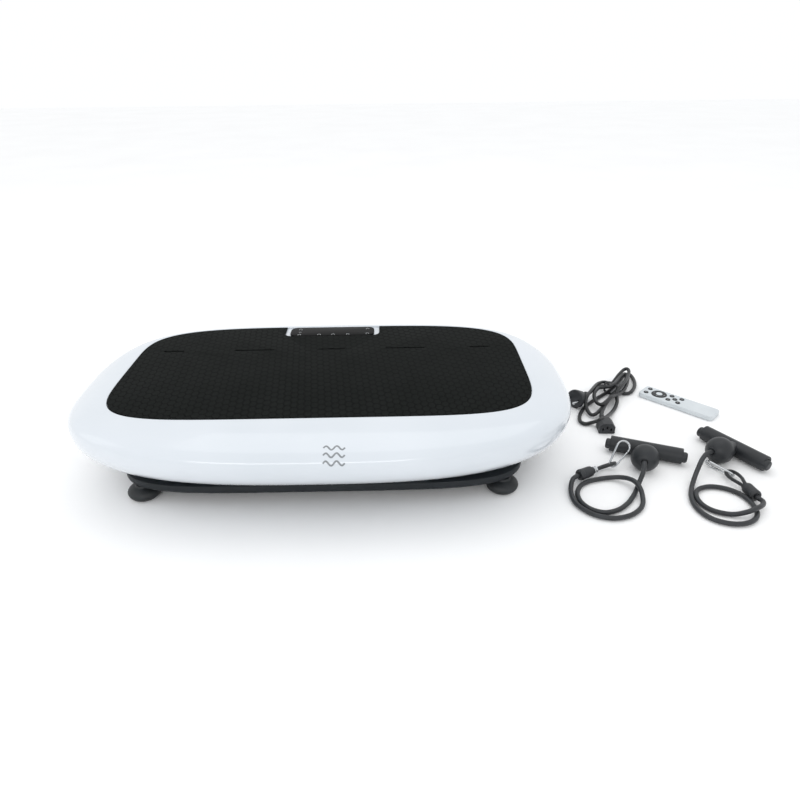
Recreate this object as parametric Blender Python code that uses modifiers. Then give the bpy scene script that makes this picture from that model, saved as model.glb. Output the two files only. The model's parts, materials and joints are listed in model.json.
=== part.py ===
"""A slim vibration plate with its remote control, two resistance bands and detachable mains lead.

Everything stands on the floor at z = 0. X runs along the plate, -Y is its front, +Z is up. The plate
is shifted along X so that the whole set is centred on the origin.
"""

import math

import bmesh
import bpy
from mathutils import Matrix, Vector

for leftover in list(bpy.data.objects):
    bpy.data.objects.remove(leftover)

# ---- Fits -------------------------------------------------------------------------------------------
GAP = 0.0003  # between two pieces that touch
RUNNING_FIT = 0.0005  # round a shaft in its bearing
KEY_FIT = 0.0004  # round a key in its pocket

# ---- Where each item lies on the floor --------------------------------------------------------------
PLATE_X = -0.160
REMOTE_AT = (0.478, 0.130)
REMOTE_HEADING = math.radians(-46.0)
HANDLE_AT = {"left": (0.3565, -0.0378), "right": (0.5014, -0.0373)}
HANDLE_HEADING = {"left": math.radians(157.0), "right": math.radians(120.0)}
PLUG_AT = (0.314, 0.154)
PLUG_HEADING = math.radians(221.0)
CONNECTOR_AT = (0.3190, 0.078)
CONNECTOR_HEADING = math.radians(-94.0)
TIE_AT = (0.366, 0.182)
TIE_HEADING = math.radians(52.0)

# ---- Plate: outer shell -----------------------------------------------------------------------------
SHELL_LENGTH = 0.760
SHELL_FRONT = 0.236  # from the widest line to the front
SHELL_REAR = 0.210
WIDEST_Y = 0.014
SHELL_POWER_FRONT = 3.0  # squareness of the plan: 2 is an ellipse
SHELL_POWER_REAR = 2.6
SHELL_WALL = 0.003
EQUATOR_Z = 0.115
DECK_Z = 0.1425
RIM_Z = 0.047
RIM_HEIGHT = 0.009
RIM_FLANGE = 0.007
SEAM = 0.0004
TUCK_SIDE = 0.038  # how far the lower edge lies inside the widest outline
TUCK_FRONT = 0.060
TUCK_REAR = 0.058
LOWER_POWER = 2.8
OVAL_POINTS = 64

# ---- Plate: mat and control panel -------------------------------------------------------------------
MAT_INSET_SIDE = 0.064
MAT_INSET_FRONT = 0.082
MAT_INSET_REAR = 0.033
MAT_POWER_FRONT = 6.0
MAT_POWER_REAR = 4.0
MAT_WIDEST_SHIFT = 0.038
MAT_THICK = 0.003
MAT_RECESS = 0.0022
MAT_EDGE_GAP = 0.0006
NOTCH_MARGIN = 0.009
PANEL_LENGTH = 0.150
PANEL_DEPTH = 0.038
PANEL_THICK = 0.0034
PANEL_CORNER = 0.012
PANEL_REAR_MARGIN = 0.004
BOARD_THICK = 0.0016

# ---- Plate: base ------------------------------------------------------------------------------------
BASE_INSET_SIDE = 0.073
BASE_INSET_FRONT = 0.070
BASE_INSET_REAR = 0.072
BASE_POWER = 5.0
BASE_WALL = 0.003
BASE_TOP_Z = 0.060
BASE_FILLET = 0.006
SHOULDER_Z = 0.036  # below the rim's lowest point when the plate rocks
SHOULDER_RISE = 0.004
SHOULDER_INSET = 0.004
FOOT_HEIGHT = 0.0217
FOOT_RADIUS = 0.0245
FOOT_INSET_X = 0.037
FOOT_INSET_Y = 0.036

# ---- Plate: rocker ----------------------------------------------------------------------------------
PIVOT_Z = 0.075
PIVOT_RADIUS = 0.007
BLOCK_LENGTH = 0.050
BLOCK_THICK = 0.022
BLOCK_Y = 0.066
BLOCK_WALL = 0.014
CHEEK_THICK = 0.006
CHEEK_LENGTH = 0.044
FRAME_LENGTH = 0.500
FRAME_DEPTH = 0.220
FRAME_SHEET = 0.003
FRAME_FOLD = 0.016

# ---- Plate: drive -----------------------------------------------------------------------------------
DRIVE_END_ROOM = 0.052  # from the end of the base to the motor
BELT_CENTRES = 0.095
SHAFT_Z = 0.060
SHAFT_RADIUS = 0.006
THROW = 0.003
JOURNAL_RADIUS = 0.010
JOURNAL_LENGTH = 0.020
JOURNAL_SIDE_ROOM = 0.002  # more than the pulley gap, between the journal and each bearing block
CRANK_BLOCK_LENGTH = 0.036
CRANK_BLOCK_THICK = 0.016
CRANK_BLOCK_WALL = 0.011
PULLEY_WIDTH = 0.014
PULLEY_GAP = 0.006
DRIVEN_RADIUS = 0.032
DRIVER_RADIUS = 0.014
BELT_WIDTH = 0.010
BELT_THICK = 0.0025
MOTOR_RADIUS = 0.030
MOTOR_LENGTH = 0.085
MOTOR_BOSS = 0.012
MOTOR_SHAFT_RADIUS = 0.004
CRADLE_HEIGHT = 0.020
ROD_SWEEP = 0.0068  # room in the rod's big end for the deck's whole travel
ROD_WALL = 0.006
ROD_THICK = 0.014
BOARD_LENGTH = 0.110
BOARD_DEPTH = 0.090
BOARD_X = 0.130
BOARD_STAND = 0.006
BOARD_BLOCKS = (  # dx, y, length, depth and height of the heat sink, the relay and the choke
    (0.0350, 0.0, 0.012, 0.070, 0.030), (-0.0300, 0.0280, 0.020, 0.018, 0.015),
    (-0.0300, -0.0250, 0.024, 0.024, 0.020),
)
CAPACITORS = ((0.0, -0.020), (0.0, 0.005))
CAPACITOR_RADIUS = 0.009
CAPACITOR_HEIGHT = 0.028

# ---- Plate: mains inlet, switch and band anchors ----------------------------------------------------
INLET_X = 0.090
INLET_Z = 0.0345
INLET_LENGTH = 0.062
INLET_HEIGHT = 0.021
INLET_BODY_LENGTH = 0.056
INLET_BODY_HEIGHT = 0.019
INLET_BODY_DEPTH = 0.022
INLET_FLANGE = 0.002
INLET_BOSS = 0.008
SOCKET_LENGTH = 0.0250
SOCKET_HEIGHT = 0.0160
SOCKET_DEPTH = 0.016
SOCKET_SHIFT = -0.0130
PIN_PITCH = 0.007
PIN_WIDTH = 0.0020
PIN_HEIGHT = 0.0042
PIN_SETBACK = 0.0045
SWITCH_LENGTH = 0.0180
SWITCH_HEIGHT = 0.0120
SWITCH_DEPTH = 0.0070
SWITCH_SHIFT = 0.0160
SWITCH_ROOM = 0.0012
SWITCH_TILT = math.radians(8.0)
SWITCH_DIP = 0.0010
ANCHOR_WIRE = 0.0020
ANCHOR_REACH = 0.016
ANCHOR_SPREAD = 0.011
ANCHOR_Z = 0.0325

# ---- Remote control ---------------------------------------------------------------------------------
REMOTE_LENGTH = 0.140
REMOTE_WIDTH = 0.039
REMOTE_THICK = 0.009
REMOTE_CORNER = 0.007
KEY_RADIUS = 0.0042
KEY_RISE = 0.0011
KEY_TRAVEL = 0.0010
KEY_DEPTH = 0.0030
RING_RADIUS = 0.0138
RING_HOLE = 0.0062
COVER_LENGTH = 0.056
COVER_WIDTH = 0.024
COVER_THICK = 0.0018
KEY_PAIR_Y = 0.0088
KEY_PLACES = {
    "key_head_left": (-0.0590, -KEY_PAIR_Y),
    "key_head_right": (-0.0590, KEY_PAIR_Y),
    "key_upper_left": (-0.0160, -KEY_PAIR_Y),
    "key_upper_right": (-0.0160, KEY_PAIR_Y),
    "key_middle": (-0.0066, 0.0),
    "key_lower_left": (0.0028, -KEY_PAIR_Y),
    "key_lower_right": (0.0028, KEY_PAIR_Y),
}
RING_X = -0.0372

# ---- Resistance bands -------------------------------------------------------------------------------
BAR_RADIUS = 0.0127
BAR_LENGTH = 0.112
BAR_ROUND = 0.003
TONGUE_RADIUS = 0.0085
TONGUE_LENGTH = 0.126
TONGUE_SHIFT = 0.0040
STEM_RADIUS = 0.0150
BALL_RADIUS = 0.0215
BALL_REACH = 0.041
BAND_RADIUS = 0.0036
BAND_FIT = 0.0006
BAND_INSERT = 0.008
BAND_STEP = 0.0160
SLEEVE_RADIUS = 0.0088
SLEEVE_LENGTH = 0.024
SLEEVE_NECK = 0.004
NECK_RADIUS = 0.0062
CRIMP_RADIUS = 0.0056
CRIMP_LENGTH = 0.0065
LOOP_RADIUS = 0.0026
HOOK_WIRE = 0.0016
HOOK_LENGTH = 0.046
HOOK_EYE = 0.0055
HOOK_NOSE = 0.010
GATE_WIRE = 0.0013
GATE_FROM = 0.0135
GATE_TO = 0.0330
GATE_GAP = 0.0005

# ---- Mains lead -------------------------------------------------------------------------------------
CORD_RADIUS = 0.0033
PLUG_RADIUS = 0.0175
PLUG_LENGTH = 0.042
PLUG_NECK = 0.0060
PLUG_NECK_Z = 0.0140
PLUG_RIBS = 3
PLUG_RIB_PITCH = 0.0042
PLUG_PIN_RADIUS = 0.0024
PLUG_PIN_LENGTH = 0.019
PLUG_PIN_PITCH = 0.019
CONNECTOR_WIDTH = 0.0275
CONNECTOR_HEIGHT = 0.0190
CONNECTOR_LENGTH = 0.027
CONNECTOR_NECK = 0.018
SLOT_WIDTH = 0.0028
SLOT_HEIGHT = 0.0050
SLOT_DEPTH = 0.0120
SLOT_RISE = 0.0018
CORD_STEP = 0.0080
PLUG_ENTRY_EDGE = 3  # edge of the hank's outline that each cord enters
CONNECTOR_ENTRY_EDGE = 13
HANK_THICK = 0.0180
HANK_Z = 0.0026
TIE_WALL = 0.0018
TIE_WIDTH = 0.0060
WAIST = 0.0170

# ---- Routes, by hand, in the world's metres ---------------------------------------------------------
BAND_ROUTE = {
    "left": (
        (0.3260, -0.1100, 0.0195), (0.3175, -0.1220, 0.0092), (0.3105, -0.1330, 0.0042),
        (0.3000, -0.1490, 0.0038), (0.2860, -0.1660, 0.0038), (0.2680, -0.1800, 0.0038),
        (0.2470, -0.1855, 0.0038), (0.2290, -0.1770, 0.0038), (0.2195, -0.1600, 0.0038),
        (0.2195, -0.1400, 0.0038), (0.2280, -0.1225, 0.0038), (0.2425, -0.1110, 0.0038),
        (0.2610, -0.1045, 0.0038), (0.2810, -0.1025, 0.0048), (0.2970, -0.1080, 0.0085),
        (0.3065, -0.1190, 0.0120), (0.3110, -0.1310, 0.0127), (0.3125, -0.1420, 0.0105),
        (0.3120, -0.1530, 0.0065), (0.3080, -0.1670, 0.0040), (0.2980, -0.1810, 0.0038),
        (0.2810, -0.1930, 0.0038), (0.2580, -0.1985, 0.0038), (0.2360, -0.1930, 0.0038),
        (0.2205, -0.1800, 0.0038), (0.2110, -0.1620, 0.0038), (0.2100, -0.1420, 0.0040),
        (0.2135, -0.1240, 0.0062), (0.2195, -0.1110, 0.0095),
    ),
    "right": (
        (0.4365, -0.0750, 0.0268), (0.4260, -0.0850, 0.0225), (0.4150, -0.0990, 0.0140),
        (0.4040, -0.1150, 0.0075), (0.3940, -0.1320, 0.0042), (0.3850, -0.1520, 0.0038),
        (0.3815, -0.1720, 0.0038), (0.3850, -0.1910, 0.0038), (0.3950, -0.2055, 0.0038),
        (0.4120, -0.2145, 0.0038), (0.4310, -0.2160, 0.0038), (0.4480, -0.2100, 0.0038),
        (0.4595, -0.1985, 0.0038), (0.4650, -0.1830, 0.0038), (0.4650, -0.1650, 0.0038),
        (0.4590, -0.1480, 0.0038), (0.4450, -0.1350, 0.0038), (0.4260, -0.1290, 0.0038),
        (0.4090, -0.1320, 0.0038), (0.3975, -0.1410, 0.0038), (0.3920, -0.1550, 0.0038),
        (0.3925, -0.1700, 0.0038), (0.3985, -0.1820, 0.0038), (0.4100, -0.1905, 0.0038),
        (0.4270, -0.1960, 0.0045), (0.4450, -0.1970, 0.0090), (0.4600, -0.1930, 0.0124),
        (0.4720, -0.1850, 0.0110), (0.4785, -0.1750, 0.0095),
    ),
}
SLEEVE_AT = {"left": (0.2300, -0.1040, 0.0112), "right": (0.4755, -0.1629, 0.0092)}
SLEEVE_TOWARDS = {"left": (0.898, 0.440, 0.0), "right": (-0.141, 0.990, 0.0)}
# Each strap loop, as distance beyond the sleeve and distance to either side of its line.
LOOP_ROUTE = (
    (0.0000, 0.0027), (0.0060, 0.0050), (0.0150, 0.0085), (0.0240, 0.0080), (0.0290, 0.0035),
    (0.0290, -0.0035), (0.0240, -0.0080), (0.0150, -0.0085), (0.0060, -0.0050), (0.0000, -0.0027),
)
LOOP_SIDE = {"left": (-0.350, 0.700, -0.620), "right": (0.985, 0.170, 0.0)}
LOOP_STRETCH = {"left": 1.2, "right": 1.35}
LOOP_DROP = {"left": 0.0, "right": -0.0012}
# Each hook's eye: how far back from the strap loop's far end, to its side and up.
HOOK_EYE_SHIFT = {"left": (0.0003, 0.0, 0.0), "right": (0.0073, -0.0025, 0.0006)}
HOOK_TOWARDS = {"left": (0.580, 0.450, 0.680), "right": (-0.600, 0.800, 0.030)}
HOOK_SIDE = {"left": (-0.790, 0.300, 0.530), "right": (-0.514, -0.386, 0.766)}
PLUG_CORD_ROUTE = ((0.3235, 0.1650, 0.0125),)
CONNECTOR_CORD_ROUTE = ((0.3194, 0.0875, 0.0101),)
HANK_OUTLINE = (
    (0.3655, 0.1951), (0.3531, 0.1793), (0.3420, 0.1860), (0.3280, 0.1790), (0.3346, 0.1714),
    (0.3240, 0.1450), (0.3100, 0.1240), (0.2960, 0.1010), (0.2790, 0.0860), (0.2800, 0.0680),
    (0.2920, 0.0600), (0.3020, 0.0660), (0.3065, 0.0800), (0.3090, 0.0960), (0.3300, 0.0960),
    (0.3390, 0.0870), (0.3560, 0.1120), (0.3690, 0.1440), (0.3665, 0.1689), (0.3789, 0.1847),
    (0.3950, 0.1760), (0.4150, 0.1880), (0.4290, 0.2110), (0.4330, 0.2400), (0.4310, 0.2680),
    (0.4180, 0.2700), (0.4020, 0.2480), (0.3850, 0.2200),
)

PARTS = bpy.data.collections.new("vibration_plate")
GUIDES = bpy.data.collections.new("cutters")
bpy.context.scene.collection.children.link(PARTS)
bpy.context.scene.collection.children.link(GUIDES)

# ---- Colours: name, (red, green, blue), roughness, metallic ------------------------------------------
FINISHES = {
    "gloss_white_shell": ((0.83, 0.86, 0.90), 0.18, 0.0),
    "black_mat_rubber": ((0.017, 0.018, 0.019), 0.80, 0.0),
    "gloss_black_lens": ((0.010, 0.010, 0.010), 0.12, 0.0),
    "charcoal_plastic": ((0.022, 0.027, 0.033), 0.50, 0.0),
    "black_rubber": ((0.012, 0.013, 0.014), 0.65, 0.0),
    "black_plastic": ((0.014, 0.015, 0.016), 0.40, 0.0),
    "white_plastic": ((0.72, 0.76, 0.79), 0.35, 0.0),
    "steel": ((0.50, 0.51, 0.52), 0.35, 1.0),
    "bright_steel": ((0.72, 0.74, 0.76), 0.20, 1.0),
    "cast_aluminium": ((0.42, 0.43, 0.44), 0.45, 1.0),
    "motor_paint": ((0.05, 0.05, 0.055), 0.45, 0.2),
    "circuit_board": ((0.01, 0.10, 0.03), 0.45, 0.0),
    "braided_strap": ((0.016, 0.017, 0.018), 0.85, 0.0),
}


def finish(name):
    """The named Principled material, made once."""
    if name in bpy.data.materials:
        return bpy.data.materials[name]
    colour, roughness, metallic = FINISHES[name]
    material = bpy.data.materials.new(name)
    material.use_nodes = True
    shader = material.node_tree.nodes["Principled BSDF"]
    shader.inputs["Base Color"].default_value = (*colour, 1.0)
    shader.inputs["Roughness"].default_value = roughness
    shader.inputs["Metallic"].default_value = metallic
    return material


# ---- Modelling helpers --------------------------------------------------------------------------------
def empty(name, matrix, parent=None):
    """An empty that carries a frame or a joint's axis."""
    obj = bpy.data.objects.new(name, None)
    PARTS.objects.link(obj)
    obj.parent = parent
    obj.matrix_basis = matrix
    return obj


def hang(obj, frame, axis=None):
    """Put the object in a frame and, where it moves, under the empty on its joint's axis."""
    obj.parent = axis or frame
    if axis:
        obj.matrix_parent_inverse = axis.matrix_basis.inverted()
    return obj


def add(name, data, look, frame, axis=None):
    obj = bpy.data.objects.new(name, data)
    PARTS.objects.link(obj)
    data.materials.append(finish(look))
    return hang(obj, frame, axis)


def mesh_from(name, build):
    """A mesh made by one function that fills a bmesh."""
    shape = bmesh.new()
    build(shape)
    bmesh.ops.recalc_face_normals(shape, faces=shape.faces)
    mesh = bpy.data.meshes.new(name)
    shape.to_mesh(mesh)
    shape.free()
    return mesh


def box_mesh(name, low, high):
    size = Vector(high) - Vector(low)
    middle = (Vector(high) + Vector(low)) / 2
    place = Matrix.Translation(middle) @ Matrix.Diagonal((*size, 1.0))
    return mesh_from(name, lambda shape: bmesh.ops.create_cube(shape, size=1.0, matrix=place))


def rod_mesh(name, start, end, radius, end_radius=None, sides=28):
    """A cylinder or cone from one point to another."""
    run = Vector(end) - Vector(start)
    turn = run.to_track_quat("Z", "Y").to_matrix().to_4x4()
    place = Matrix.Translation((Vector(start) + Vector(end)) / 2) @ turn
    taper = radius if end_radius is None else end_radius

    def build(shape):
        bmesh.ops.create_cone(
            shape, cap_ends=True, segments=sides, radius1=radius, radius2=taper,
            depth=run.length, matrix=place,
        )

    return mesh_from(name, build)


def box(name, low, high, look, frame, axis=None):
    return add(name, box_mesh(name, low, high), look, frame, axis)


def rod(name, start, end, radius, look, frame, axis=None, end_radius=None, sides=28):
    return add(name, rod_mesh(name, start, end, radius, end_radius, sides), look, frame, axis)


def as_guide(obj):
    """Keep a cutter or a joined shape out of the model itself."""
    for collection in obj.users_collection:
        collection.objects.unlink(obj)
    GUIDES.objects.link(obj)
    obj.hide_render = True
    obj.display_type = "WIRE"


def combine(target, other, operation):
    as_guide(other)
    modifier = target.modifiers.new(f"{operation.lower()}_{other.name}", "BOOLEAN")
    modifier.operation = operation
    modifier.object = other
    return target


def cut(target, other):
    return combine(target, other, "DIFFERENCE")


def join(target, other):
    return combine(target, other, "UNION")


def loft(name, rings, look, frame, axis=None, ring_closed=False):
    """Skin through rings of equally many points. The end rings are capped, unless the rings close up."""
    count = len(rings[0])
    corners = [point for ring in rings for point in ring]
    faces = []
    for i in range(len(rings) if ring_closed else len(rings) - 1):
        low = i * count
        high = (i + 1) % len(rings) * count
        for j in range(count):
            k = (j + 1) % count
            faces.append((low + j, low + k, high + k, high + j))
    if not ring_closed:
        faces.append(tuple(range(count)))
        faces.append(tuple(range((len(rings) - 1) * count, len(rings) * count)))
    mesh = bpy.data.meshes.new(name)
    mesh.from_pydata(corners, [], faces)
    shape = bmesh.new()
    shape.from_mesh(mesh)
    bmesh.ops.recalc_face_normals(shape, faces=shape.faces)
    shape.to_mesh(mesh)
    shape.free()
    mesh.shade_smooth()
    mesh.set_sharp_from_angle(angle=math.radians(35))
    return add(name, mesh, look, frame, axis)


def turned(name, profile, place, look, frame, axis=None, steps=32):
    """A profile of (radius, height) down its outer side, turned about its own Z and set in place."""
    mesh = bpy.data.meshes.new(name)
    corners = [(radius, 0.0, height) for radius, height in profile]
    closed = profile[0][0] > 0.0
    edges = [(i, i + 1) for i in range(len(profile) - 1)]
    if closed:
        edges.append((len(profile) - 1, 0))
    mesh.from_pydata(corners, edges, [])
    obj = add(name, mesh, look, frame, axis)
    obj.matrix_basis = place
    screw = obj.modifiers.new("turn", "SCREW")
    screw.axis = "Z"
    screw.steps = steps
    screw.render_steps = steps
    screw.use_merge_vertices = True
    screw.merge_threshold = 0.00002
    return obj


def along_y(x, y, z):
    """A frame whose own Z points along +Y."""
    return Matrix.Translation((x, y, z)) @ Matrix.Rotation(math.radians(-90), 4, "X")


def outline(name, loops, low_z, high_z, look, frame, axis=None):
    """A flat plate: outer outline and holes, as lists of (x, y)."""
    curve = bpy.data.curves.new(name, "CURVE")
    curve.dimensions = "2D"
    curve.fill_mode = "BOTH"
    curve.extrude = (high_z - low_z) / 2
    for loop in loops:
        spline = curve.splines.new("POLY")
        spline.points.add(len(loop) - 1)
        for point, (x, y) in zip(spline.points, loop):
            point.co = (x, y, 0.0, 1.0)
        spline.use_cyclic_u = True
    obj = add(name, curve, look, frame, axis)
    obj.location.z = (high_z + low_z) / 2
    return obj


def solid_outline(name, loops, low_z, high_z, look, frame, axis=None, place=None):
    """The same plate as a mesh, so that it can be cut and joined."""
    flat = outline(name + "_flat", loops, low_z, high_z, look, frame)
    bpy.context.view_layer.update()
    graph = bpy.context.evaluated_depsgraph_get()
    mesh = bpy.data.meshes.new_from_object(flat.evaluated_get(graph))
    shape = bmesh.new()
    shape.from_mesh(mesh)
    bmesh.ops.remove_doubles(shape, verts=shape.verts, dist=0.00001)
    bmesh.ops.translate(shape, verts=shape.verts, vec=flat.location)
    if place:
        bmesh.ops.transform(shape, matrix=place, verts=shape.verts)
    bmesh.ops.recalc_face_normals(shape, faces=shape.faces)
    shape.to_mesh(mesh)
    shape.free()
    mesh.name = name
    mesh.materials.clear()
    bpy.data.objects.remove(flat)
    return add(name, mesh, look, frame, axis)


def rounded_box(length, depth, corner, centre=(0.0, 0.0), points=6):
    """The outline of a rectangle with round corners."""
    loop = []
    for quarter, (sx, sy) in enumerate(((1, 1), (-1, 1), (-1, -1), (1, -1))):
        for i in range(points + 1):
            angle = math.radians(90 * (quarter + i / points))
            loop.append((
                centre[0] + sx * (length / 2 - corner) + corner * math.cos(angle),
                centre[1] + sy * (depth / 2 - corner) + corner * math.sin(angle),
            ))
    return loop


def circle(radius, centre=(0.0, 0.0), sides=28):
    turn = 2 * math.pi / sides
    return [
        (centre[0] + radius * math.cos(turn * i), centre[1] + radius * math.sin(turn * i))
        for i in range(sides)
    ]


def smooth_route(points, spacing):
    """Points at an even spacing on the Catmull-Rom curve through the given ones."""
    points = [Vector(point) for point in points]
    before = points[0] * 2 - points[1]
    after = points[-1] * 2 - points[-2]
    chain = [before, *points, after]
    fine = []
    steps = 24
    for i in range(1, len(chain) - 2):
        a, b, c, d = chain[i - 1 : i + 3]
        for j in range(steps):
            t = j / steps
            fine.append((
                b * 2 + (c - a) * t + (a * 2 - b * 5 + c * 4 - d) * t**2
                + (b * 3 - a - c * 3 + d) * t**3
            ) / 2)
    fine.append(points[-1])
    total = sum((q - p).length for p, q in zip(fine, fine[1:]))
    wanted = max(2, round(total / spacing))
    even = [fine[0]]
    run = 0.0
    for p, q in zip(fine, fine[1:]):
        run += (q - p).length
        if run >= total * len(even) / wanted and len(even) < wanted:
            even.append(q)
    even.append(fine[-1])
    return even


def tube(name, points, radius, look, frame, axis=None, cyclic=False, resolution=2):
    curve = bpy.data.curves.new(name, "CURVE")
    curve.dimensions = "3D"
    curve.bevel_depth = radius
    curve.bevel_resolution = resolution
    curve.use_fill_caps = not cyclic
    spline = curve.splines.new("POLY")
    spline.points.add(len(points) - 1)
    for point, place in zip(spline.points, points):
        point.co = (*place, 1.0)
    spline.use_cyclic_u = cyclic
    return add(name, curve, look, frame, axis)


def frame_from(origin, along, side):
    """A frame at the origin whose X points along and whose Y is as near to side as it can be."""
    x = Vector(along).normalized()
    y = Vector(side) - x * Vector(side).dot(x)
    y.normalize()
    turn = Matrix((x, y, x.cross(y))).transposed().to_4x4()
    return Matrix.Translation(origin) @ turn


# ---- Plan outlines of the plate -----------------------------------------------------------------------
def shell_plan():
    return (SHELL_LENGTH / 2, SHELL_FRONT, SHELL_REAR, SHELL_POWER_FRONT, SHELL_POWER_REAR, WIDEST_Y)


def lower_plan():
    return (
        SHELL_LENGTH / 2 - TUCK_SIDE, SHELL_FRONT - TUCK_FRONT, SHELL_REAR - TUCK_REAR,
        LOWER_POWER, LOWER_POWER, WIDEST_Y,
    )


def mat_plan(grow=0.0):
    widest = WIDEST_Y + MAT_WIDEST_SHIFT
    front = SHELL_FRONT - MAT_INSET_FRONT + MAT_WIDEST_SHIFT
    rear = SHELL_REAR - MAT_INSET_REAR - MAT_WIDEST_SHIFT
    half = SHELL_LENGTH / 2 - MAT_INSET_SIDE
    return (half + grow, front + grow, rear + grow, MAT_POWER_FRONT, MAT_POWER_REAR, widest)


def base_plan(inset=0.0):
    front = WIDEST_Y - SHELL_FRONT + BASE_INSET_FRONT
    rear = WIDEST_Y + SHELL_REAR - BASE_INSET_REAR
    half_depth = (rear - front) / 2 - inset
    half = SHELL_LENGTH / 2 - BASE_INSET_SIDE - inset
    return (half, half_depth, half_depth, BASE_POWER, BASE_POWER, (rear + front) / 2)


def shrink(plan, wall):
    return (plan[0] - wall, plan[1] - wall, plan[2] - wall, *plan[3:])


def blend(low, high, share):
    return tuple(a + (b - a) * share for a, b in zip(low, high))


def oval(plan, z):
    """A ring of points on a squared oval whose front and rear halves differ."""
    half, front, rear, power_front, power_rear, widest = plan
    ring = []
    for i in range(OVAL_POINTS):
        angle = 2 * math.pi * i / OVAL_POINTS
        c = math.cos(angle)
        s = math.sin(angle)
        depth, power = (rear, power_rear) if s >= 0 else (front, power_front)
        x = half * math.copysign(abs(c) ** (2 / power), c)
        y = widest + depth * math.copysign(abs(s) ** (2 / power), s)
        ring.append((x, y, z))
    return ring


def under_ring(share, wall):
    """The shell below its equator: share 0 is the lower edge and 1 the equator."""
    plan = blend(lower_plan(), shell_plan(), 1 - (1 - share) ** 2)
    return oval(shrink(plan, wall), RIM_Z + (EQUATOR_Z - RIM_Z) * share)


def over_ring(turn, wall):
    """The shell above its equator, a quarter ellipse in section: turn runs from 0 to 90 degrees."""
    plan = blend(mat_plan(MAT_EDGE_GAP + MAT_RECESS), shell_plan(), math.cos(turn))
    height = EQUATOR_Z + (DECK_Z - wall - EQUATOR_Z) * math.sin(turn)
    return oval(shrink(plan, wall), height)


# ---- Plate: what rocks --------------------------------------------------------------------------------
RECESS_Z = DECK_Z - MAT_RECESS
CEILING_Z = RECESS_Z - SHELL_WALL
UPPER_STEPS = 6
LOWER_STEPS = 3


def top_shell(plate, rocker):
    """Glossy one-piece upper shell, open below, with a shallow recess for the mat and the panel."""
    start = (RIM_HEIGHT + SEAM) / (EQUATOR_Z - RIM_Z)
    rises = [start + (1 - start) * i / LOWER_STEPS for i in range(LOWER_STEPS)]
    turns = [math.radians(90 * i / UPPER_STEPS) for i in range(UPPER_STEPS + 1)]
    inner = [under_ring(rise, SHELL_WALL) for rise in rises]
    inner += [over_ring(turn, SHELL_WALL) for turn in turns[:-2]]
    inner.append(oval(shrink(mat_plan(), SHELL_WALL), CEILING_Z))
    outer = [under_ring(rise, 0.0) for rise in rises]
    outer += [over_ring(turn, 0.0) for turn in turns]
    outer.append(oval(mat_plan(MAT_EDGE_GAP), DECK_Z))
    outer.append(oval(mat_plan(MAT_EDGE_GAP), RECESS_Z))
    return loft("top_shell", inner[::-1] + outer, "gloss_white_shell", plate, rocker)


def shell_rim(plate, rocker):
    """Separate lower rim of the shell, with a flange turned in below."""
    top = RIM_HEIGHT / (EQUATOR_Z - RIM_Z)
    flange = oval(shrink(lower_plan(), RIM_FLANGE), RIM_Z)
    raised = oval(shrink(lower_plan(), RIM_FLANGE), RIM_Z + SHELL_WALL / 2)
    inner_low = oval(shrink(lower_plan(), SHELL_WALL), RIM_Z + SHELL_WALL / 2)
    rings = [flange, under_ring(0.0, 0.0), under_ring(top, 0.0), under_ring(top, SHELL_WALL)]
    rings += [inner_low, raised]
    return loft("shell_rim", rings, "gloss_white_shell", plate, rocker, ring_closed=True)


def panel_centre():
    rear = WIDEST_Y + SHELL_REAR - MAT_INSET_REAR
    return (0.0, rear - PANEL_REAR_MARGIN - PANEL_DEPTH / 2)


def deck_mat(plate, rocker):
    """Rubber mat in the recess, with a notch at the rear for the control panel."""
    outer = [(x, y) for x, y, _ in oval(mat_plan(), 0.0)]
    mat = solid_outline(
        "deck_mat", [outer], RECESS_Z + GAP, RECESS_Z + GAP + MAT_THICK, "black_mat_rubber",
        plate, rocker,
    )
    x, y = panel_centre()
    length = PANEL_LENGTH + 2 * NOTCH_MARGIN
    depth = PANEL_DEPTH + 2 * GAP
    past = depth  # how far the notch's cutter runs past the mat's rear edge
    notch = rounded_box(length, depth + past, PANEL_CORNER, (x, y + past / 2))
    cutter = solid_outline("notch", [notch], RECESS_Z, DECK_Z + MAT_THICK, "steel", plate, rocker)
    return cut(mat, cutter)


def control_panel(plate, rocker):
    """Gloss black lens with the display and the touch keys behind it."""
    loop = rounded_box(PANEL_LENGTH, PANEL_DEPTH, PANEL_CORNER, panel_centre())
    low = RECESS_Z + GAP
    return outline("control_panel", [loop], low, low + PANEL_THICK, "gloss_black_lens", plate, rocker)


def control_board(plate, rocker):
    """Touch and display board, stuck up under the shell below the panel."""
    x, y = panel_centre()
    half = (PANEL_LENGTH / 2 - PANEL_CORNER / 2, PANEL_DEPTH / 2 - PANEL_CORNER / 2)
    top = CEILING_Z - GAP
    low = (x - half[0], y - half[1], top - BOARD_THICK)
    high = (x + half[0], y + half[1] - SHELL_WALL, top)
    return box("control_board", low, high, "circuit_board", plate, rocker)


def block_face():
    """Distance from the plate's middle to the outer face of a pivot block."""
    return BLOCK_Y + BLOCK_THICK / 2


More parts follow.
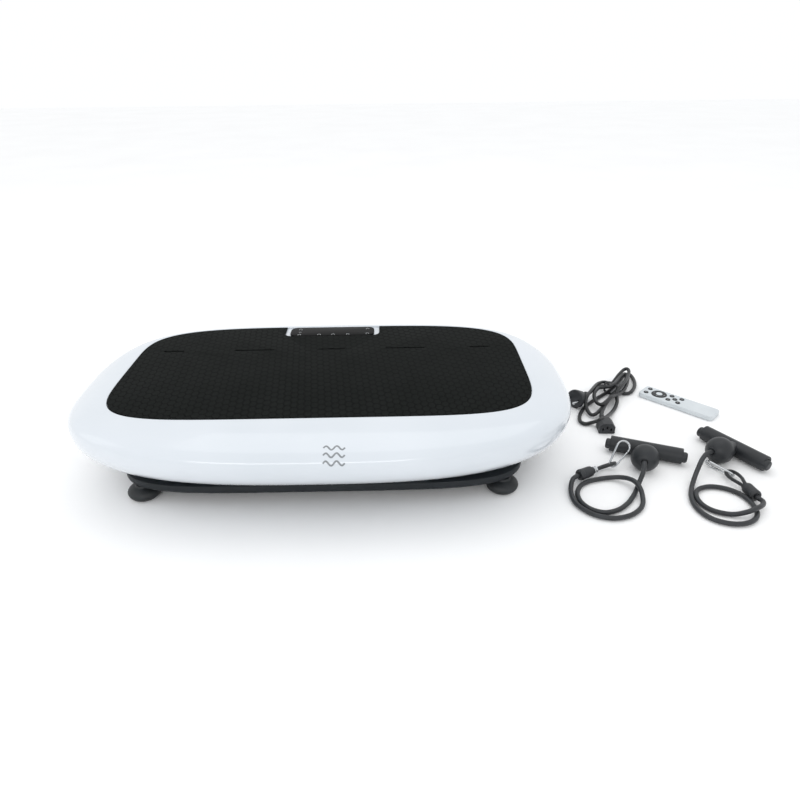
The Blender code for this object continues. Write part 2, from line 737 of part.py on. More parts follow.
def deck_frame(plate, rocker):
    """Steel sheet under the deck, with a folded edge at front and rear and two cheeks for the pivot shaft."""
    top = CEILING_Z - GAP
    half = (FRAME_LENGTH / 2, FRAME_DEPTH / 2)
    frame = box(
        "deck_frame", (-half[0], -half[1], top - FRAME_SHEET), (half[0], half[1], top), "steel",
        plate, rocker,
    )
    for name, side in (("front", -1), ("rear", 1)):
        edge = side * half[1]
        inner = side * (half[1] - FRAME_SHEET)
        fold = box(
            f"frame_fold_{name}", (-half[0], min(edge, inner), top - FRAME_FOLD),
            (half[0], max(edge, inner), top - GAP), "steel", plate, rocker,
        )
        join(frame, fold)
        near = side * (block_face() + RUNNING_FIT)
        far = side * (block_face() + RUNNING_FIT + CHEEK_THICK)
        cheek = box(
            f"frame_cheek_{name}",
            (-CHEEK_LENGTH / 2, min(near, far), PIVOT_Z - PIVOT_RADIUS - CHEEK_THICK),
            (CHEEK_LENGTH / 2, max(near, far), top - GAP), "steel", plate, rocker,
        )
        join(frame, cheek)
    reach = block_face() + 3 * CHEEK_THICK
    bore = rod(
        "frame_bore", (0, -reach, PIVOT_Z), (0, reach, PIVOT_Z), PIVOT_RADIUS + GAP, "steel",
        plate, rocker,
    )
    return cut(frame, bore)


def pivot_shaft(plate, rocker):
    reach = block_face() + RUNNING_FIT + CHEEK_THICK + PIVOT_RADIUS / 2
    return rod(
        "pivot_shaft", (0, -reach, PIVOT_Z), (0, reach, PIVOT_Z), PIVOT_RADIUS, "bright_steel",
        plate, rocker,
    )


def connecting_rod(plate, rocker):
    """Rod from the eccentric to the deck frame, with a big end as wide as the deck's travel."""
    x = CRANK_X
    outer = JOURNAL_RADIUS + ROD_SWEEP + ROD_WALL
    half = ROD_THICK / 2
    under = CEILING_Z - 2 * GAP - FRAME_SHEET
    body = rod(
        "connecting_rod", (x, -half, SHAFT_Z), (x, half, SHAFT_Z), outer, "cast_aluminium", plate, rocker,
    )
    stem_top = under - ROD_WALL / 2
    stem = box(
        "rod_stem", (x - outer / 2, -half * 0.8, SHAFT_Z), (x + outer / 2, half * 0.8, stem_top),
        "cast_aluminium", plate, rocker,
    )
    pad = box(
        "rod_pad", (x - outer, -half, under - ROD_WALL), (x + outer, half, under), "cast_aluminium",
        plate, rocker,
    )
    bore = rod(
        "rod_bore", (x, -ROD_THICK, SHAFT_Z), (x, ROD_THICK, SHAFT_Z), JOURNAL_RADIUS + ROD_SWEEP,
        "cast_aluminium", plate, rocker,
    )
    return cut(join(join(body, stem), pad), bore)


# ---- Plate: what stands still -------------------------------------------------------------------------
BOTTOM_Z = FOOT_HEIGHT + GAP
FLOOR_Z = BOTTOM_Z + BASE_WALL
BASE_HALF_LENGTH = SHELL_LENGTH / 2 - BASE_INSET_SIDE
MOTOR_X = DRIVE_END_ROOM + MOTOR_RADIUS - BASE_HALF_LENGTH
CRANK_X = MOTOR_X + BELT_CENTRES


def neck_plan(inset=0.0):
    """The upper wall of the base, which stands inside the shell's rim."""
    half, front, rear, _, _, middle = base_plan(SHOULDER_INSET + inset)
    return (half, front, rear, LOWER_POWER, LOWER_POWER, middle)


def inlet_box(depth_in, depth_out, length, height, shift=0.0):
    """Corners of a box on the rear wall, as deep in and as far out of its outer face as given."""
    rear = WIDEST_Y + SHELL_REAR - BASE_INSET_REAR
    middle = INLET_X + shift
    low = (middle - length / 2, rear - depth_in, INLET_Z - height / 2)
    high = (middle + length / 2, rear + depth_out, INLET_Z + height / 2)
    return low, high


def base_pan(plate):
    """Tray that holds the drive: a wall with a shoulder, and a flat boss for the mains inlet."""
    top_in = SHOULDER_Z + SHOULDER_RISE - BASE_WALL * 0.8
    low_in = SHOULDER_Z - BASE_WALL * 0.8
    fillet = BASE_FILLET
    rings = [
        oval(base_plan(fillet), BOTTOM_Z),
        oval(base_plan(fillet * 0.3), BOTTOM_Z + fillet * 0.3),
        oval(base_plan(), BOTTOM_Z + fillet),
        oval(base_plan(), SHOULDER_Z),
        oval(neck_plan(), SHOULDER_Z + SHOULDER_RISE),
        oval(neck_plan(), BASE_TOP_Z),
        oval(neck_plan(BASE_WALL), BASE_TOP_Z),
        oval(neck_plan(BASE_WALL), top_in),
        oval(base_plan(BASE_WALL), low_in),
        oval(base_plan(BASE_WALL), FLOOR_Z + fillet / 2),
        oval(base_plan(fillet + BASE_WALL / 2), FLOOR_Z),
    ]
    pan = loft("base_pan", rings, "charcoal_plastic", plate)
    low, high = inlet_box(INLET_BOSS, BASE_WALL / 3, INLET_LENGTH + BASE_WALL, INLET_HEIGHT + BASE_WALL)
    boss = box("inlet_boss", low, high, "charcoal_plastic", plate)
    opening = (INLET_BODY_LENGTH + 2 * GAP, INLET_BODY_HEIGHT + 2 * GAP)
    low, high = inlet_box(INLET_BOSS * 2, INLET_BOSS, *opening)
    hole = box("inlet_hole", low, high, "charcoal_plastic", plate)
    return cut(join(pan, boss), hole)


def foot(name, plate, x, y):
    """Round suction foot: a short neck on a dome with a hollow underside."""
    rim = FOOT_RADIUS
    profile = (
        (0.0, FOOT_HEIGHT), (rim * 0.46, FOOT_HEIGHT), (rim * 0.50, FOOT_HEIGHT * 0.86),
        (rim * 0.74, FOOT_HEIGHT * 0.76), (rim * 0.95, FOOT_HEIGHT * 0.60), (rim, FOOT_HEIGHT * 0.44),
        (rim * 0.95, FOOT_HEIGHT * 0.24), (rim * 0.82, FOOT_HEIGHT * 0.08), (rim * 0.68, 0.0),
        (rim * 0.56, 0.0), (0.0, FOOT_HEIGHT * 0.10),
    )
    return turned(name, profile, Matrix.Translation((x, y, 0.0)), "black_rubber", plate, steps=24)


def bored_block(name, plate, x, y, size, bore_z, bore_radius):
    """A block on the base's floor with a hole along Y."""
    length, thick, top = size
    block = box(
        name, (x - length / 2, y - thick / 2, FLOOR_Z + GAP), (x + length / 2, y + thick / 2, top),
        "cast_aluminium", plate,
    )
    bore = rod(
        f"{name}_bore", (x, y - thick, bore_z), (x, y + thick, bore_z), bore_radius, "cast_aluminium", plate,
    )
    return cut(block, bore)


def motor(plate):
    """Drive motor: a can with its end boss, which lies in the cradle."""
    start = PULLEY_FACE - MOTOR_BOSS - MOTOR_LENGTH
    can = rod(
        "motor", (MOTOR_X, start, SHAFT_Z), (MOTOR_X, start + MOTOR_LENGTH, SHAFT_Z), MOTOR_RADIUS,
        "motor_paint", plate, sides=36,
    )
    boss = rod(
        "motor_boss", (MOTOR_X, start + MOTOR_LENGTH - GAP, SHAFT_Z),
        (MOTOR_X, PULLEY_FACE - PULLEY_GAP / 2, SHAFT_Z), MOTOR_RADIUS * 0.45, "steel", plate,
    )
    return join(can, boss)


def motor_cradle(plate):
    """Block on the floor with a hollow that the motor lies in."""
    start = PULLEY_FACE - MOTOR_BOSS - MOTOR_LENGTH
    inset = MOTOR_LENGTH * 0.12
    cradle = box(
        "motor_cradle", (MOTOR_X - MOTOR_RADIUS, start + inset, FLOOR_Z + GAP),
        (MOTOR_X + MOTOR_RADIUS, start + MOTOR_LENGTH - inset, FLOOR_Z + CRADLE_HEIGHT), "steel", plate,
    )
    hollow = rod(
        "cradle_hollow", (MOTOR_X, start - inset, SHAFT_Z), (MOTOR_X, start + MOTOR_LENGTH + inset, SHAFT_Z),
        MOTOR_RADIUS + GAP, "steel", plate, sides=36,
    )
    return cut(cradle, hollow)


CRANK_BLOCK_Y = JOURNAL_LENGTH / 2 + PULLEY_GAP + CRANK_BLOCK_THICK / 2 + JOURNAL_SIDE_ROOM
PULLEY_FACE = CRANK_BLOCK_Y + CRANK_BLOCK_THICK / 2 + PULLEY_GAP


def pulley_profile(radius, bore):
    """Two rims and a groove for the belt. Without a bore it is solid."""
    rim = radius + BELT_THICK / 2
    half = PULLEY_WIDTH / 2
    groove = BELT_WIDTH / 2 + GAP
    profile = [(bore, half), (rim, half), (rim, groove), (radius - BELT_THICK / 2, groove)]
    profile += [(radius - BELT_THICK / 2, -groove), (rim, -groove), (rim, -half), (bore, -half)]
    return profile


def pulley_y():
    return PULLEY_FACE + PULLEY_WIDTH / 2


def motor_pulley(plate, axis):
    """Small pulley in one node with the motor's shaft end, which it is pressed on."""
    half = PULLEY_WIDTH / 2
    stub = half + PULLEY_GAP / 2 - GAP
    profile = pulley_profile(DRIVER_RADIUS, MOTOR_SHAFT_RADIUS)
    profile = [(0.0, stub), (MOTOR_SHAFT_RADIUS, stub), *profile]
    profile += [(MOTOR_SHAFT_RADIUS, -stub), (0.0, -stub)]
    return turned(
        "motor_pulley", profile, along_y(MOTOR_X, pulley_y(), SHAFT_Z), "steel", plate, axis, steps=28,
    )


def driven_pulley(plate, axis):
    profile = pulley_profile(DRIVEN_RADIUS, SHAFT_RADIUS + GAP)
    return turned(
        "driven_pulley", profile, along_y(CRANK_X, pulley_y(), SHAFT_Z), "steel", plate, axis, steps=40,
    )


def eccentric_shaft(plate, axis):
    """Shaft in two bearings whose middle journal stands off the axis by the throw."""
    start = -CRANK_BLOCK_Y - CRANK_BLOCK_THICK / 2 - RUNNING_FIT
    end = PULLEY_FACE + PULLEY_WIDTH + PULLEY_GAP / 2
    shaft = rod(
        "eccentric_shaft", (CRANK_X, start, SHAFT_Z), (CRANK_X, end, SHAFT_Z), SHAFT_RADIUS,
        "bright_steel", plate, axis,
    )
    half = JOURNAL_LENGTH / 2
    journal = rod(
        "journal", (CRANK_X, -half, SHAFT_Z + THROW), (CRANK_X, half, SHAFT_Z + THROW),
        JOURNAL_RADIUS, "bright_steel", plate, axis,
    )
    return join(shaft, journal)


def belt_loop(extra):
    """Outline round both pulleys, in X and Z, further out than the grooves by the given amount."""
    small = DRIVER_RADIUS - BELT_THICK / 2 + extra
    large = DRIVEN_RADIUS - BELT_THICK / 2 + extra
    lean = math.asin((large - small) / BELT_CENTRES)
    loop = []
    steps = 14
    for i in range(steps + 1):
        angle = -math.pi / 2 - lean + (math.pi + 2 * lean) * i / steps
        loop.append((CRANK_X + large * math.cos(angle), large * math.sin(angle)))
    for i in range(steps + 1):
        angle = math.pi / 2 + lean + (math.pi - 2 * lean) * i / steps
        loop.append((MOTOR_X + small * math.cos(angle), small * math.sin(angle)))
    return loop


def drive_belt(plate):
    place = Matrix.Translation((0.0, pulley_y(), SHAFT_Z)) @ Matrix.Rotation(math.radians(90), 4, "X")
    half = BELT_WIDTH / 2
    return solid_outline(
        "drive_belt", [belt_loop(2 * GAP + BELT_THICK), belt_loop(2 * GAP)], -half, half, "black_rubber",
        plate, place=place,
    )


def power_board(plate):
    """Motor driver board on a foam pad, with its heat sink, choke and capacitors."""
    x = BOARD_X
    low = FLOOR_Z + GAP + BOARD_STAND
    half = (BOARD_LENGTH / 2, BOARD_DEPTH / 2)
    board = box(
        "power_board", (x - half[0], -half[1], low), (x + half[0], half[1], low + BOARD_THICK),
        "circuit_board", plate,
    )
    top = low + BOARD_THICK / 2
    pad = box(
        "board_pad", (x - half[0] * 0.8, -half[1] * 0.8, FLOOR_Z + GAP), (x + half[0] * 0.8, half[1] * 0.8, top),
        "circuit_board", plate,
    )
    join(board, pad)
    for i, (dx, dy, length, depth, height) in enumerate(BOARD_BLOCKS):
        block = box(
            f"board_block_{i}", (x + dx - length / 2, dy - depth / 2, top),
            (x + dx + length / 2, dy + depth / 2, top + height), "circuit_board", plate,
        )
        join(board, block)
    for i, (dx, dy) in enumerate(CAPACITORS):
        can = rod(
            f"board_can_{i}", (x + dx, dy, top), (x + dx, dy, top + CAPACITOR_HEIGHT), CAPACITOR_RADIUS,
            "circuit_board", plate, sides=16,
        )
        join(board, can)
    return board


def inlet_socket(plate):
    """Mains inlet: face plate and body in one moulding, a socket with three pins, and the switch's opening."""
    low, high = inlet_box(-BASE_WALL / 3 - GAP, BASE_WALL / 3 + GAP + INLET_FLANGE, INLET_LENGTH, INLET_HEIGHT)
    socket = box("inlet_socket", low, high, "black_plastic", plate)
    overlap = BASE_WALL / 3 + GAP + INLET_FLANGE / 2
    low, high = inlet_box(INLET_BODY_DEPTH, overlap, INLET_BODY_LENGTH, INLET_BODY_HEIGHT)
    join(socket, box("inlet_body", low, high, "black_plastic", plate))
    front = BASE_WALL / 3 + GAP + INLET_FLANGE
    low, high = inlet_box(SOCKET_DEPTH - front, 2 * front, SOCKET_LENGTH, SOCKET_HEIGHT, SOCKET_SHIFT)
    cut(socket, box("socket_hollow", low, high, "black_plastic", plate))
    room = 2 * SWITCH_ROOM
    low, high = inlet_box(
        SWITCH_DEPTH + SWITCH_ROOM - front, 2 * front, SWITCH_LENGTH + room, SWITCH_HEIGHT + room, SWITCH_SHIFT
    )
    cut(socket, box("switch_opening", low, high, "black_plastic", plate))
    for i in (-1, 0, 1):
        shift = SOCKET_SHIFT + PIN_PITCH * i
        low, high = inlet_box(SOCKET_DEPTH - front + GAP, front - PIN_SETBACK, PIN_WIDTH, PIN_HEIGHT, shift)
        join(socket, box(f"inlet_pin_{i + 1}", low, high, "steel", plate))
    return socket


def switch_axis():
    """Where the rocker swings: halfway down its opening."""
    low, high = inlet_box(0.0, BASE_WALL / 3 + GAP + INLET_FLANGE, SWITCH_LENGTH, SWITCH_HEIGHT, SWITCH_SHIFT)
    return Vector(((low[0] + high[0]) / 2, high[1] - SWITCH_DEPTH / 2, INLET_Z))


def power_switch(plate, axis):
    """Rocker, tilted to off."""
    middle = switch_axis()
    half = (SWITCH_LENGTH / 2, SWITCH_HEIGHT / 2)
    rocker = solid_outline(
        "power_switch",
        [[
            (-half[0] * 0.9, -SWITCH_DEPTH / 2), (half[0] * 0.9, -SWITCH_DEPTH / 2),
            (half[0], SWITCH_DEPTH / 2), (0.0, SWITCH_DEPTH / 2 - SWITCH_DIP), (-half[0], SWITCH_DEPTH / 2),
        ]],
        -half[1], half[1], "black_plastic", plate, axis,
        Matrix.Translation(middle) @ Matrix.Rotation(-SWITCH_TILT, 4, "Z"),
    )
    return rocker


def band_anchor(name, plate, side):
    """Steel wire bow on the end of the base that a band's hook clips to."""
    wall = side * (BASE_HALF_LENGTH + GAP)
    tip = side * (BASE_HALF_LENGTH + ANCHOR_REACH)
    bend = ANCHOR_SPREAD * 0.55
    route = [(wall, -ANCHOR_SPREAD, ANCHOR_Z), (tip - side * bend, -ANCHOR_SPREAD, ANCHOR_Z)]
    for i in range(1, 12):
        angle = math.radians(-90 + 15 * i)
        route.append((
            tip - side * bend + side * bend * math.cos(angle), ANCHOR_SPREAD * math.sin(angle), ANCHOR_Z,
        ))
    route += [(tip - side * bend, ANCHOR_SPREAD, ANCHOR_Z), (wall, ANCHOR_SPREAD, ANCHOR_Z)]
    return tube(name, route, ANCHOR_WIRE, "bright_steel", plate)


# ---- Remote control -----------------------------------------------------------------------------------
KEY_FLOOR = REMOTE_THICK - KEY_DEPTH


def remote_case(remote):
    case = solid_outline(
        "remote_case", [rounded_box(REMOTE_LENGTH, REMOTE_WIDTH, REMOTE_CORNER)], GAP, REMOTE_THICK,
        "white_plastic", remote,
    )
    pockets = [(place, KEY_RADIUS) for place in KEY_PLACES.values()]
    pockets.append(((RING_X, 0.0), RING_RADIUS))
    for i, ((x, y), radius) in enumerate(pockets):
        pocket = rod(
            f"pocket_{i}", (x, y, KEY_FLOOR), (x, y, REMOTE_THICK + KEY_DEPTH), radius + KEY_FIT,
            "white_plastic", remote, sides=32,
        )
        cut(case, pocket)
    end = REMOTE_LENGTH / 2
    half = COVER_WIDTH / 2 + GAP
    channel = box(
        "cover_channel", (end - COVER_LENGTH - GAP, -half, -GAP), (end + GAP, half, COVER_THICK + 2 * GAP),
        "white_plastic", remote,
    )
    return cut(case, channel)


def battery_cover(remote, axis):
    end = REMOTE_LENGTH / 2
    half = COVER_WIDTH / 2
    return box(
        "battery_cover", (end - COVER_LENGTH, -half, GAP), (end, half, GAP + COVER_THICK), "white_plastic",
        remote, axis,
    )


def remote_key(name, remote, axis, x, y):
    low = (x, y, KEY_FLOOR + KEY_TRAVEL + GAP)
    return rod(name, low, (x, y, REMOTE_THICK + KEY_RISE), KEY_RADIUS, "black_plastic", remote, axis, sides=24)


def key_ring(remote, axis):
    """Round four-way pad with a hole for the centre key."""
    loops = [circle(RING_RADIUS, (RING_X, 0.0), 40), circle(RING_HOLE, (RING_X, 0.0), 28)]
    low = KEY_FLOOR + KEY_TRAVEL + GAP
    return outline("key_ring", loops, low, REMOTE_THICK + KEY_RISE, "black_plastic", remote, axis)


def key_centre(remote, axis):
    low = (RING_X, 0.0, KEY_FLOOR + KEY_TRAVEL + GAP)
    high = (RING_X, 0.0, REMOTE_THICK + KEY_RISE + GAP)
    return rod("key_centre", low, high, RING_HOLE - KEY_FIT, "white_plastic", remote, axis, sides=28)


# ---- Resistance bands ---------------------------------------------------------------------------------
def handle_frame(side):
    """The bar's middle, with X along the bar and Y along the stem, which rises to the ball."""
    tilt = math.asin((BALL_RADIUS - BAR_RADIUS) / BALL_REACH)
    turn = Matrix.Rotation(HANDLE_HEADING[side], 4, "Z") @ Matrix.Rotation(tilt, 4, "X")
    return Matrix.Translation((*HANDLE_AT[side], BAR_RADIUS)) @ turn


def stem_end():
    """Where the stem meets the ball, measured from the bar's axis."""
    return BALL_REACH - math.sqrt(BALL_RADIUS**2 - STEM_RADIUS**2)


def handle_grip(side, frame):
    """T-shaped grip: a round bar with a flatter tongue at each end, and the stem's funnel."""
    half = BAR_LENGTH / 2
    along_x = Matrix.Rotation(math.radians(90), 4, "Y")
    rounded = BAR_RADIUS - BAR_ROUND
    profile = (
        (0.0, half), (rounded, half), (BAR_RADIUS - BAR_ROUND * 0.3, half - BAR_ROUND * 0.3),
        (BAR_RADIUS, half - BAR_ROUND), (BAR_RADIUS, BAR_ROUND - half),
        (BAR_RADIUS - BAR_ROUND * 0.3, BAR_ROUND * 0.3 - half), (rounded, -half), (0.0, -half),
    )
    grip = turned(f"{side}_handle_grip", profile, along_x, "black_plastic", frame, steps=32)
    reach = TONGUE_LENGTH / 2
    tongue = rod(
        f"{side}_tongue", (-reach, TONGUE_SHIFT, 0), (reach, TONGUE_SHIFT, 0), TONGUE_RADIUS,
        "black_plastic", frame,
    )
    stem = rod(
        f"{side}_stem", (0, 0, 0), (0, stem_end(), 0), BAR_RADIUS * 0.9, "black_plastic", frame,
        end_radius=STEM_RADIUS,
    )
    return join(join(grip, tongue), stem)


def ball_cap(side, frame):
    """Round cap on the stem's end, with a bore at its pole for the band."""
    bore = BAND_RADIUS + BAND_FIT
    profile = [(0.0, BALL_RADIUS - BAND_INSERT - GAP), (bore, BALL_RADIUS - BAND_INSERT - GAP)]
    first = math.asin(bore / BALL_RADIUS)
    last = math.pi - math.asin(STEM_RADIUS / BALL_RADIUS)
    steps = 9
    for i in range(steps + 1):
        angle = first + (last - first) * i / steps
        profile.append((BALL_RADIUS * math.sin(angle), BALL_RADIUS * math.cos(angle)))
    base = profile[-1][1]
    profile[-1] = (STEM_RADIUS, base + GAP)
    profile.append((0.0, base + GAP))
    return turned(
        f"{side}_ball_cap", profile, along_y(0.0, BALL_REACH, 0.0), "black_plastic", frame, steps=24,
    )


def sleeve_line(side):
    start = Vector(SLEEVE_AT[side])
    return start, Vector(SLEEVE_TOWARDS[side]).normalized()


def band_tube(side, world):
    """Latex tube from inside the ball cap to inside the sleeve."""
    frame = handle_frame(side)
    stem = (frame.to_3x3() @ Vector((0.0, 1.0, 0.0))).normalized()
    ball = frame @ Vector((0.0, BALL_REACH, 0.0))
    start, line = sleeve_line(side)
    clear = BAND_RADIUS * 0.8  # straight out of each mouth
    route = [ball + stem * (BALL_RADIUS + clear), *[Vector(point) for point in BAND_ROUTE[side]]]
    route.append(start - line * clear)
    points = [ball + stem * (BALL_RADIUS - BAND_INSERT), *smooth_route(route, BAND_STEP)]
    points.append(start + line * BAND_INSERT)
    return tube(f"{side}_band", points, BAND_RADIUS, "black_rubber", world)


def band_sleeve(side, world):
    """Moulded sleeve over the band's end, with a narrower neck."""
    start, line = sleeve_line(side)
    place = Matrix.Translation(start) @ line.to_track_quat("Z", "Y").to_matrix().to_4x4()
    bore = BAND_RADIUS + BAND_FIT
    length = SLEEVE_LENGTH
    profile = (
        (0.0, length + SLEEVE_NECK), (NECK_RADIUS, length + SLEEVE_NECK), (NECK_RADIUS, length),
        (SLEEVE_RADIUS * 0.92, length), (SLEEVE_RADIUS, length * 0.92), (SLEEVE_RADIUS, length * 0.12),
        (SLEEVE_RADIUS * 0.85, 0.0), (bore, 0.0), (bore, BAND_INSERT + GAP), (0.0, BAND_INSERT + GAP),
    )
    return turned(f"{side}_sleeve", profile, place, "black_rubber", world, steps=24)


def sleeve_tip(side):
    """Where the strap starts: past the sleeve's neck and, on the left, past the crimp."""
    start, line = sleeve_line(side)
    reach = SLEEVE_LENGTH + SLEEVE_NECK + GAP
    if side == "left":
        reach += CRIMP_LENGTH + GAP
    return start + line * reach, line


def left_crimp(world):
    start, line = sleeve_line("left")
    low = start + line * (SLEEVE_LENGTH + SLEEVE_NECK + GAP)
    return rod("left_crimp", low, low + line * CRIMP_LENGTH, CRIMP_RADIUS, "bright_steel", world, sides=24)


def loop_frame(side):
    tip, line = sleeve_tip(side)
    across = Vector(LOOP_SIDE[side])
    return tip, line, (across - line * across.dot(line)).normalized()


def hook_eye(side):
    """Centre of the hook's eye, near the far end of the strap loop."""
    tip, line, across = loop_frame(side)
    back, aside, lift = HOOK_EYE_SHIFT[side]
    reach = LOOP_ROUTE[len(LOOP_ROUTE) // 2][0] * LOOP_STRETCH[side] - back
    return tip + line * reach + across * aside + Vector((0.0, 0.0, LOOP_DROP[side] + lift))


def strap_loop(side, world):
    """Braided cord doubled into an eye, which the hook hangs in."""
    tip, line, across = loop_frame(side)
    far = LOOP_ROUTE[len(LOOP_ROUTE) // 2][0]
    route = []
    for along, off in LOOP_ROUTE:
        drop = LOOP_DROP[side] * along / far
        route.append(tip + line * along * LOOP_STRETCH[side] + across * off + Vector((0.0, 0.0, drop)))
    ends = (route[0], route[-1])
    route[0] = ends[0] + line * LOOP_RADIUS
    route[-1] = ends[1] + line * LOOP_RADIUS
    points = [ends[0], *smooth_route(route, LOOP_RADIUS * 1.5), ends[1]]
    return tube(f"{side}_strap_loop", points, LOOP_RADIUS, "braided_strap", world)


def hook_line():
    """The straight side of the teardrop on the gate's side, as a point and a direction towards the nose."""
    nose_x = HOOK_LENGTH - HOOK_NOSE
    lean = math.asin((HOOK_NOSE - HOOK_EYE) / (nose_x - HOOK_EYE))
    normal = Vector((-math.sin(lean), -math.cos(lean), 0.0))
    start = Vector((HOOK_EYE, 0.0, 0.0)) + normal * HOOK_EYE
    end = Vector((nose_x, 0.0, 0.0)) + normal * HOOK_NOSE
    return start, (end - start).normalized(), lean


def on_gate_line(x):
    start, line, _ = hook_line()
    return start + line * ((x - start.x) / line.x)


def snap_hook(side, frame):
    """Bent wire teardrop, open where the gate closes it."""
    nose_x = HOOK_LENGTH - HOOK_NOSE
    _, _, lean = hook_line()
    route = [on_gate_line(GATE_FROM)]
    steps = 9
    for i in range(steps + 1):
        angle = -math.pi / 2 - lean - (math.pi - 2 * lean) * i / steps
        route.append(Vector((HOOK_EYE + HOOK_EYE * math.cos(angle), HOOK_EYE * math.sin(angle), 0.0)))
    for i in range(steps + 1):
        angle = math.pi / 2 + lean - (math.pi + 2 * lean) * i / steps
        route.append(Vector((nose_x + HOOK_NOSE * math.cos(angle), HOOK_NOSE * math.sin(angle), 0.0)))
    route.append(on_gate_line(GATE_TO))
    return tube(f"{side}_snap_hook", route, HOOK_WIRE, "bright_steel", frame)


def gate_hinge():
    return on_gate_line(GATE_FROM + GATE_GAP + GATE_WIRE)


def hook_gate(side, frame, axis):
    start = on_gate_line(GATE_FROM + GATE_GAP)
    end = on_gate_line(GATE_TO - GATE_GAP)
    return rod(f"{side}_hook_gate", start, end, GATE_WIRE, "bright_steel", frame, axis, sides=14)


# ---- Mains lead ---------------------------------------------------------------------------------------
def plug_frame():
    """The plug's neck end, with Z along its axis towards the pins; its face rests on its rim."""
    rise = PLUG_NECK_Z - PLUG_RADIUS - 2 * GAP
    tilt = math.asin(rise / PLUG_LENGTH)
    flat = Vector((math.cos(PLUG_HEADING), math.sin(PLUG_HEADING), 0.0))
    line = flat * math.cos(tilt) - Vector((0.0, 0.0, math.sin(tilt)))
    place = Matrix.Translation((*PLUG_AT, PLUG_NECK_Z))
    return place @ line.to_track_quat("Z", "Y").to_matrix().to_4x4(), line


def mains_plug(world):
    """Round two-pin plug: a body that flares to its face from a ribbed neck."""
    place, _ = plug_frame()
    length = PLUG_LENGTH
    neck = PLUG_NECK
    profile = [(0.0, length), (PLUG_RADIUS * 0.96, length), (PLUG_RADIUS, length * 0.97)]
    profile += [(PLUG_RADIUS, length * 0.90), (PLUG_RADIUS * 0.62, length * 0.50), (neck, length * 0.36)]
    for i in range(PLUG_RIBS):
        top = length * 0.33 - PLUG_RIB_PITCH * i
        profile += [(neck, top), (neck * 0.8, top - PLUG_RIB_PITCH * 0.3), (neck * 0.8, top - PLUG_RIB_PITCH * 0.6)]
    profile += [(neck * 0.85, 0.0), (0.0, 0.0)]
    plug = turned("mains_plug", profile, place, "black_plastic", world, steps=24)
    for i, side in enumerate((-1, 1)):
        offset = Vector((side * PLUG_PIN_PITCH / 2, 0.0, 0.0))
        root = place @ (offset + Vector((0.0, 0.0, length - PLUG_PIN_RADIUS)))
        tip = place @ (offset + Vector((0.0, 0.0, length + PLUG_PIN_LENGTH)))
        join(plug, rod(f"plug_pin_{i}", root, tip, PLUG_PIN_RADIUS, "bright_steel", world, sides=16))
    return plug


def connector_frame():
    """The connector's neck end, with X towards its face."""
    height = GAP + CONNECTOR_HEIGHT / 2
    return Matrix.Translation((*CONNECTOR_AT, height)) @ Matrix.Rotation(CONNECTOR_HEADING, 4, "Z")


def iec_connector(frame):
    """Flat-sided mains connector with two cut corners, three slots in its face and a tapered neck."""
    start = CONNECTOR_NECK
    end = start + CONNECTOR_LENGTH
    half = (CONNECTOR_WIDTH / 2, CONNECTOR_HEIGHT / 2)
    corner = CONNECTOR_HEIGHT * 0.32
    section = [
        (-half[0], -half[1]), (half[0], -half[1]), (half[0], half[1] - corner), (half[0] - corner, half[1]),
        (corner - half[0], half[1]), (-half[0], half[1] - corner),
    ]
    turn = Matrix.Rotation(math.radians(90), 4, "Z") @ Matrix.Rotation(math.radians(90), 4, "X")
    body = solid_outline("iec_connector", [section], start, end, "black_plastic", frame, place=turn)
    neck = rod(
        "connector_neck", (0, 0, 0), (start + CORD_RADIUS, 0, 0), CORD_RADIUS * 1.3, "black_plastic",
        frame, end_radius=half[1] * 0.8, sides=20,
    )
    join(body, neck)
    for i in (-1, 0, 1):
        y = PIN_PITCH * i
        z = SLOT_RISE if i == 0 else -SLOT_RISE
        slot = box(
            f"connector_slot_{i + 1}", (end - SLOT_DEPTH, y - SLOT_WIDTH / 2, z - SLOT_HEIGHT / 2),
            (end + SLOT_DEPTH, y + SLOT_WIDTH / 2, z + SLOT_HEIGHT / 2), "black_plastic", frame,
        )
        cut(body, slot)
    return body


def hank_entry(edge, height):
    """The middle of one edge of the hank's outline, a gap outside it, and the way out from there."""
    a = Vector((*HANK_OUTLINE[edge], height))
    b = Vector((*HANK_OUTLINE[(edge + 1) % len(HANK_OUTLINE)], height))
    out = Vector((b.y - a.y, a.x - b.x, 0.0)).normalized()
    if signed_area(HANK_OUTLINE) < 0:
        out = -out
    return (a + b) / 2 + out * GAP, out


def signed_area(loop):
    following = loop[1:] + loop[:1]
    return sum(x1 * y2 - x2 * y1 for (x1, y1), (x2, y2) in zip(loop, following)) / 2


def cord_tube(name, world, neck, line, middle_points, entry_edge):
    """Cord that leaves a neck end along its axis and meets the hank square on."""
    start = neck - line * GAP
    end, out = hank_entry(entry_edge, middle_points[-1][2])
    stub = CORD_RADIUS * 1.5
    route = [start - line * stub, *[Vector(point) for point in middle_points], end + out * stub]
    points = [start, *smooth_route(route, CORD_STEP), end]
    return tube(name, points, CORD_RADIUS, "black_rubber", world)


def plug_cord(world):
    """Cord from the plug's neck to the hank."""
    place, line = plug_frame()
    return cord_tube("plug_cord", world, place.translation, line, PLUG_CORD_ROUTE, PLUG_ENTRY_EDGE)


def connector_cord(world):
    """Cord from the hank to the connector's neck."""
    place = connector_frame()
    line = place.to_3x3() @ Vector((1.0, 0.0, 0.0))
    return cord_tube(
        "connector_cord", world, place.translation, line, CONNECTOR_CORD_ROUTE, CONNECTOR_ENTRY_EDGE
    )


def cord_hank(world):
    """The gathered loops of the mains lead, as one solid of their outer shape."""
    loop = list(HANK_OUTLINE)
    return outline("cord_hank", [loop], HANK_Z, HANK_Z + HANK_THICK, "black_rubber", world)


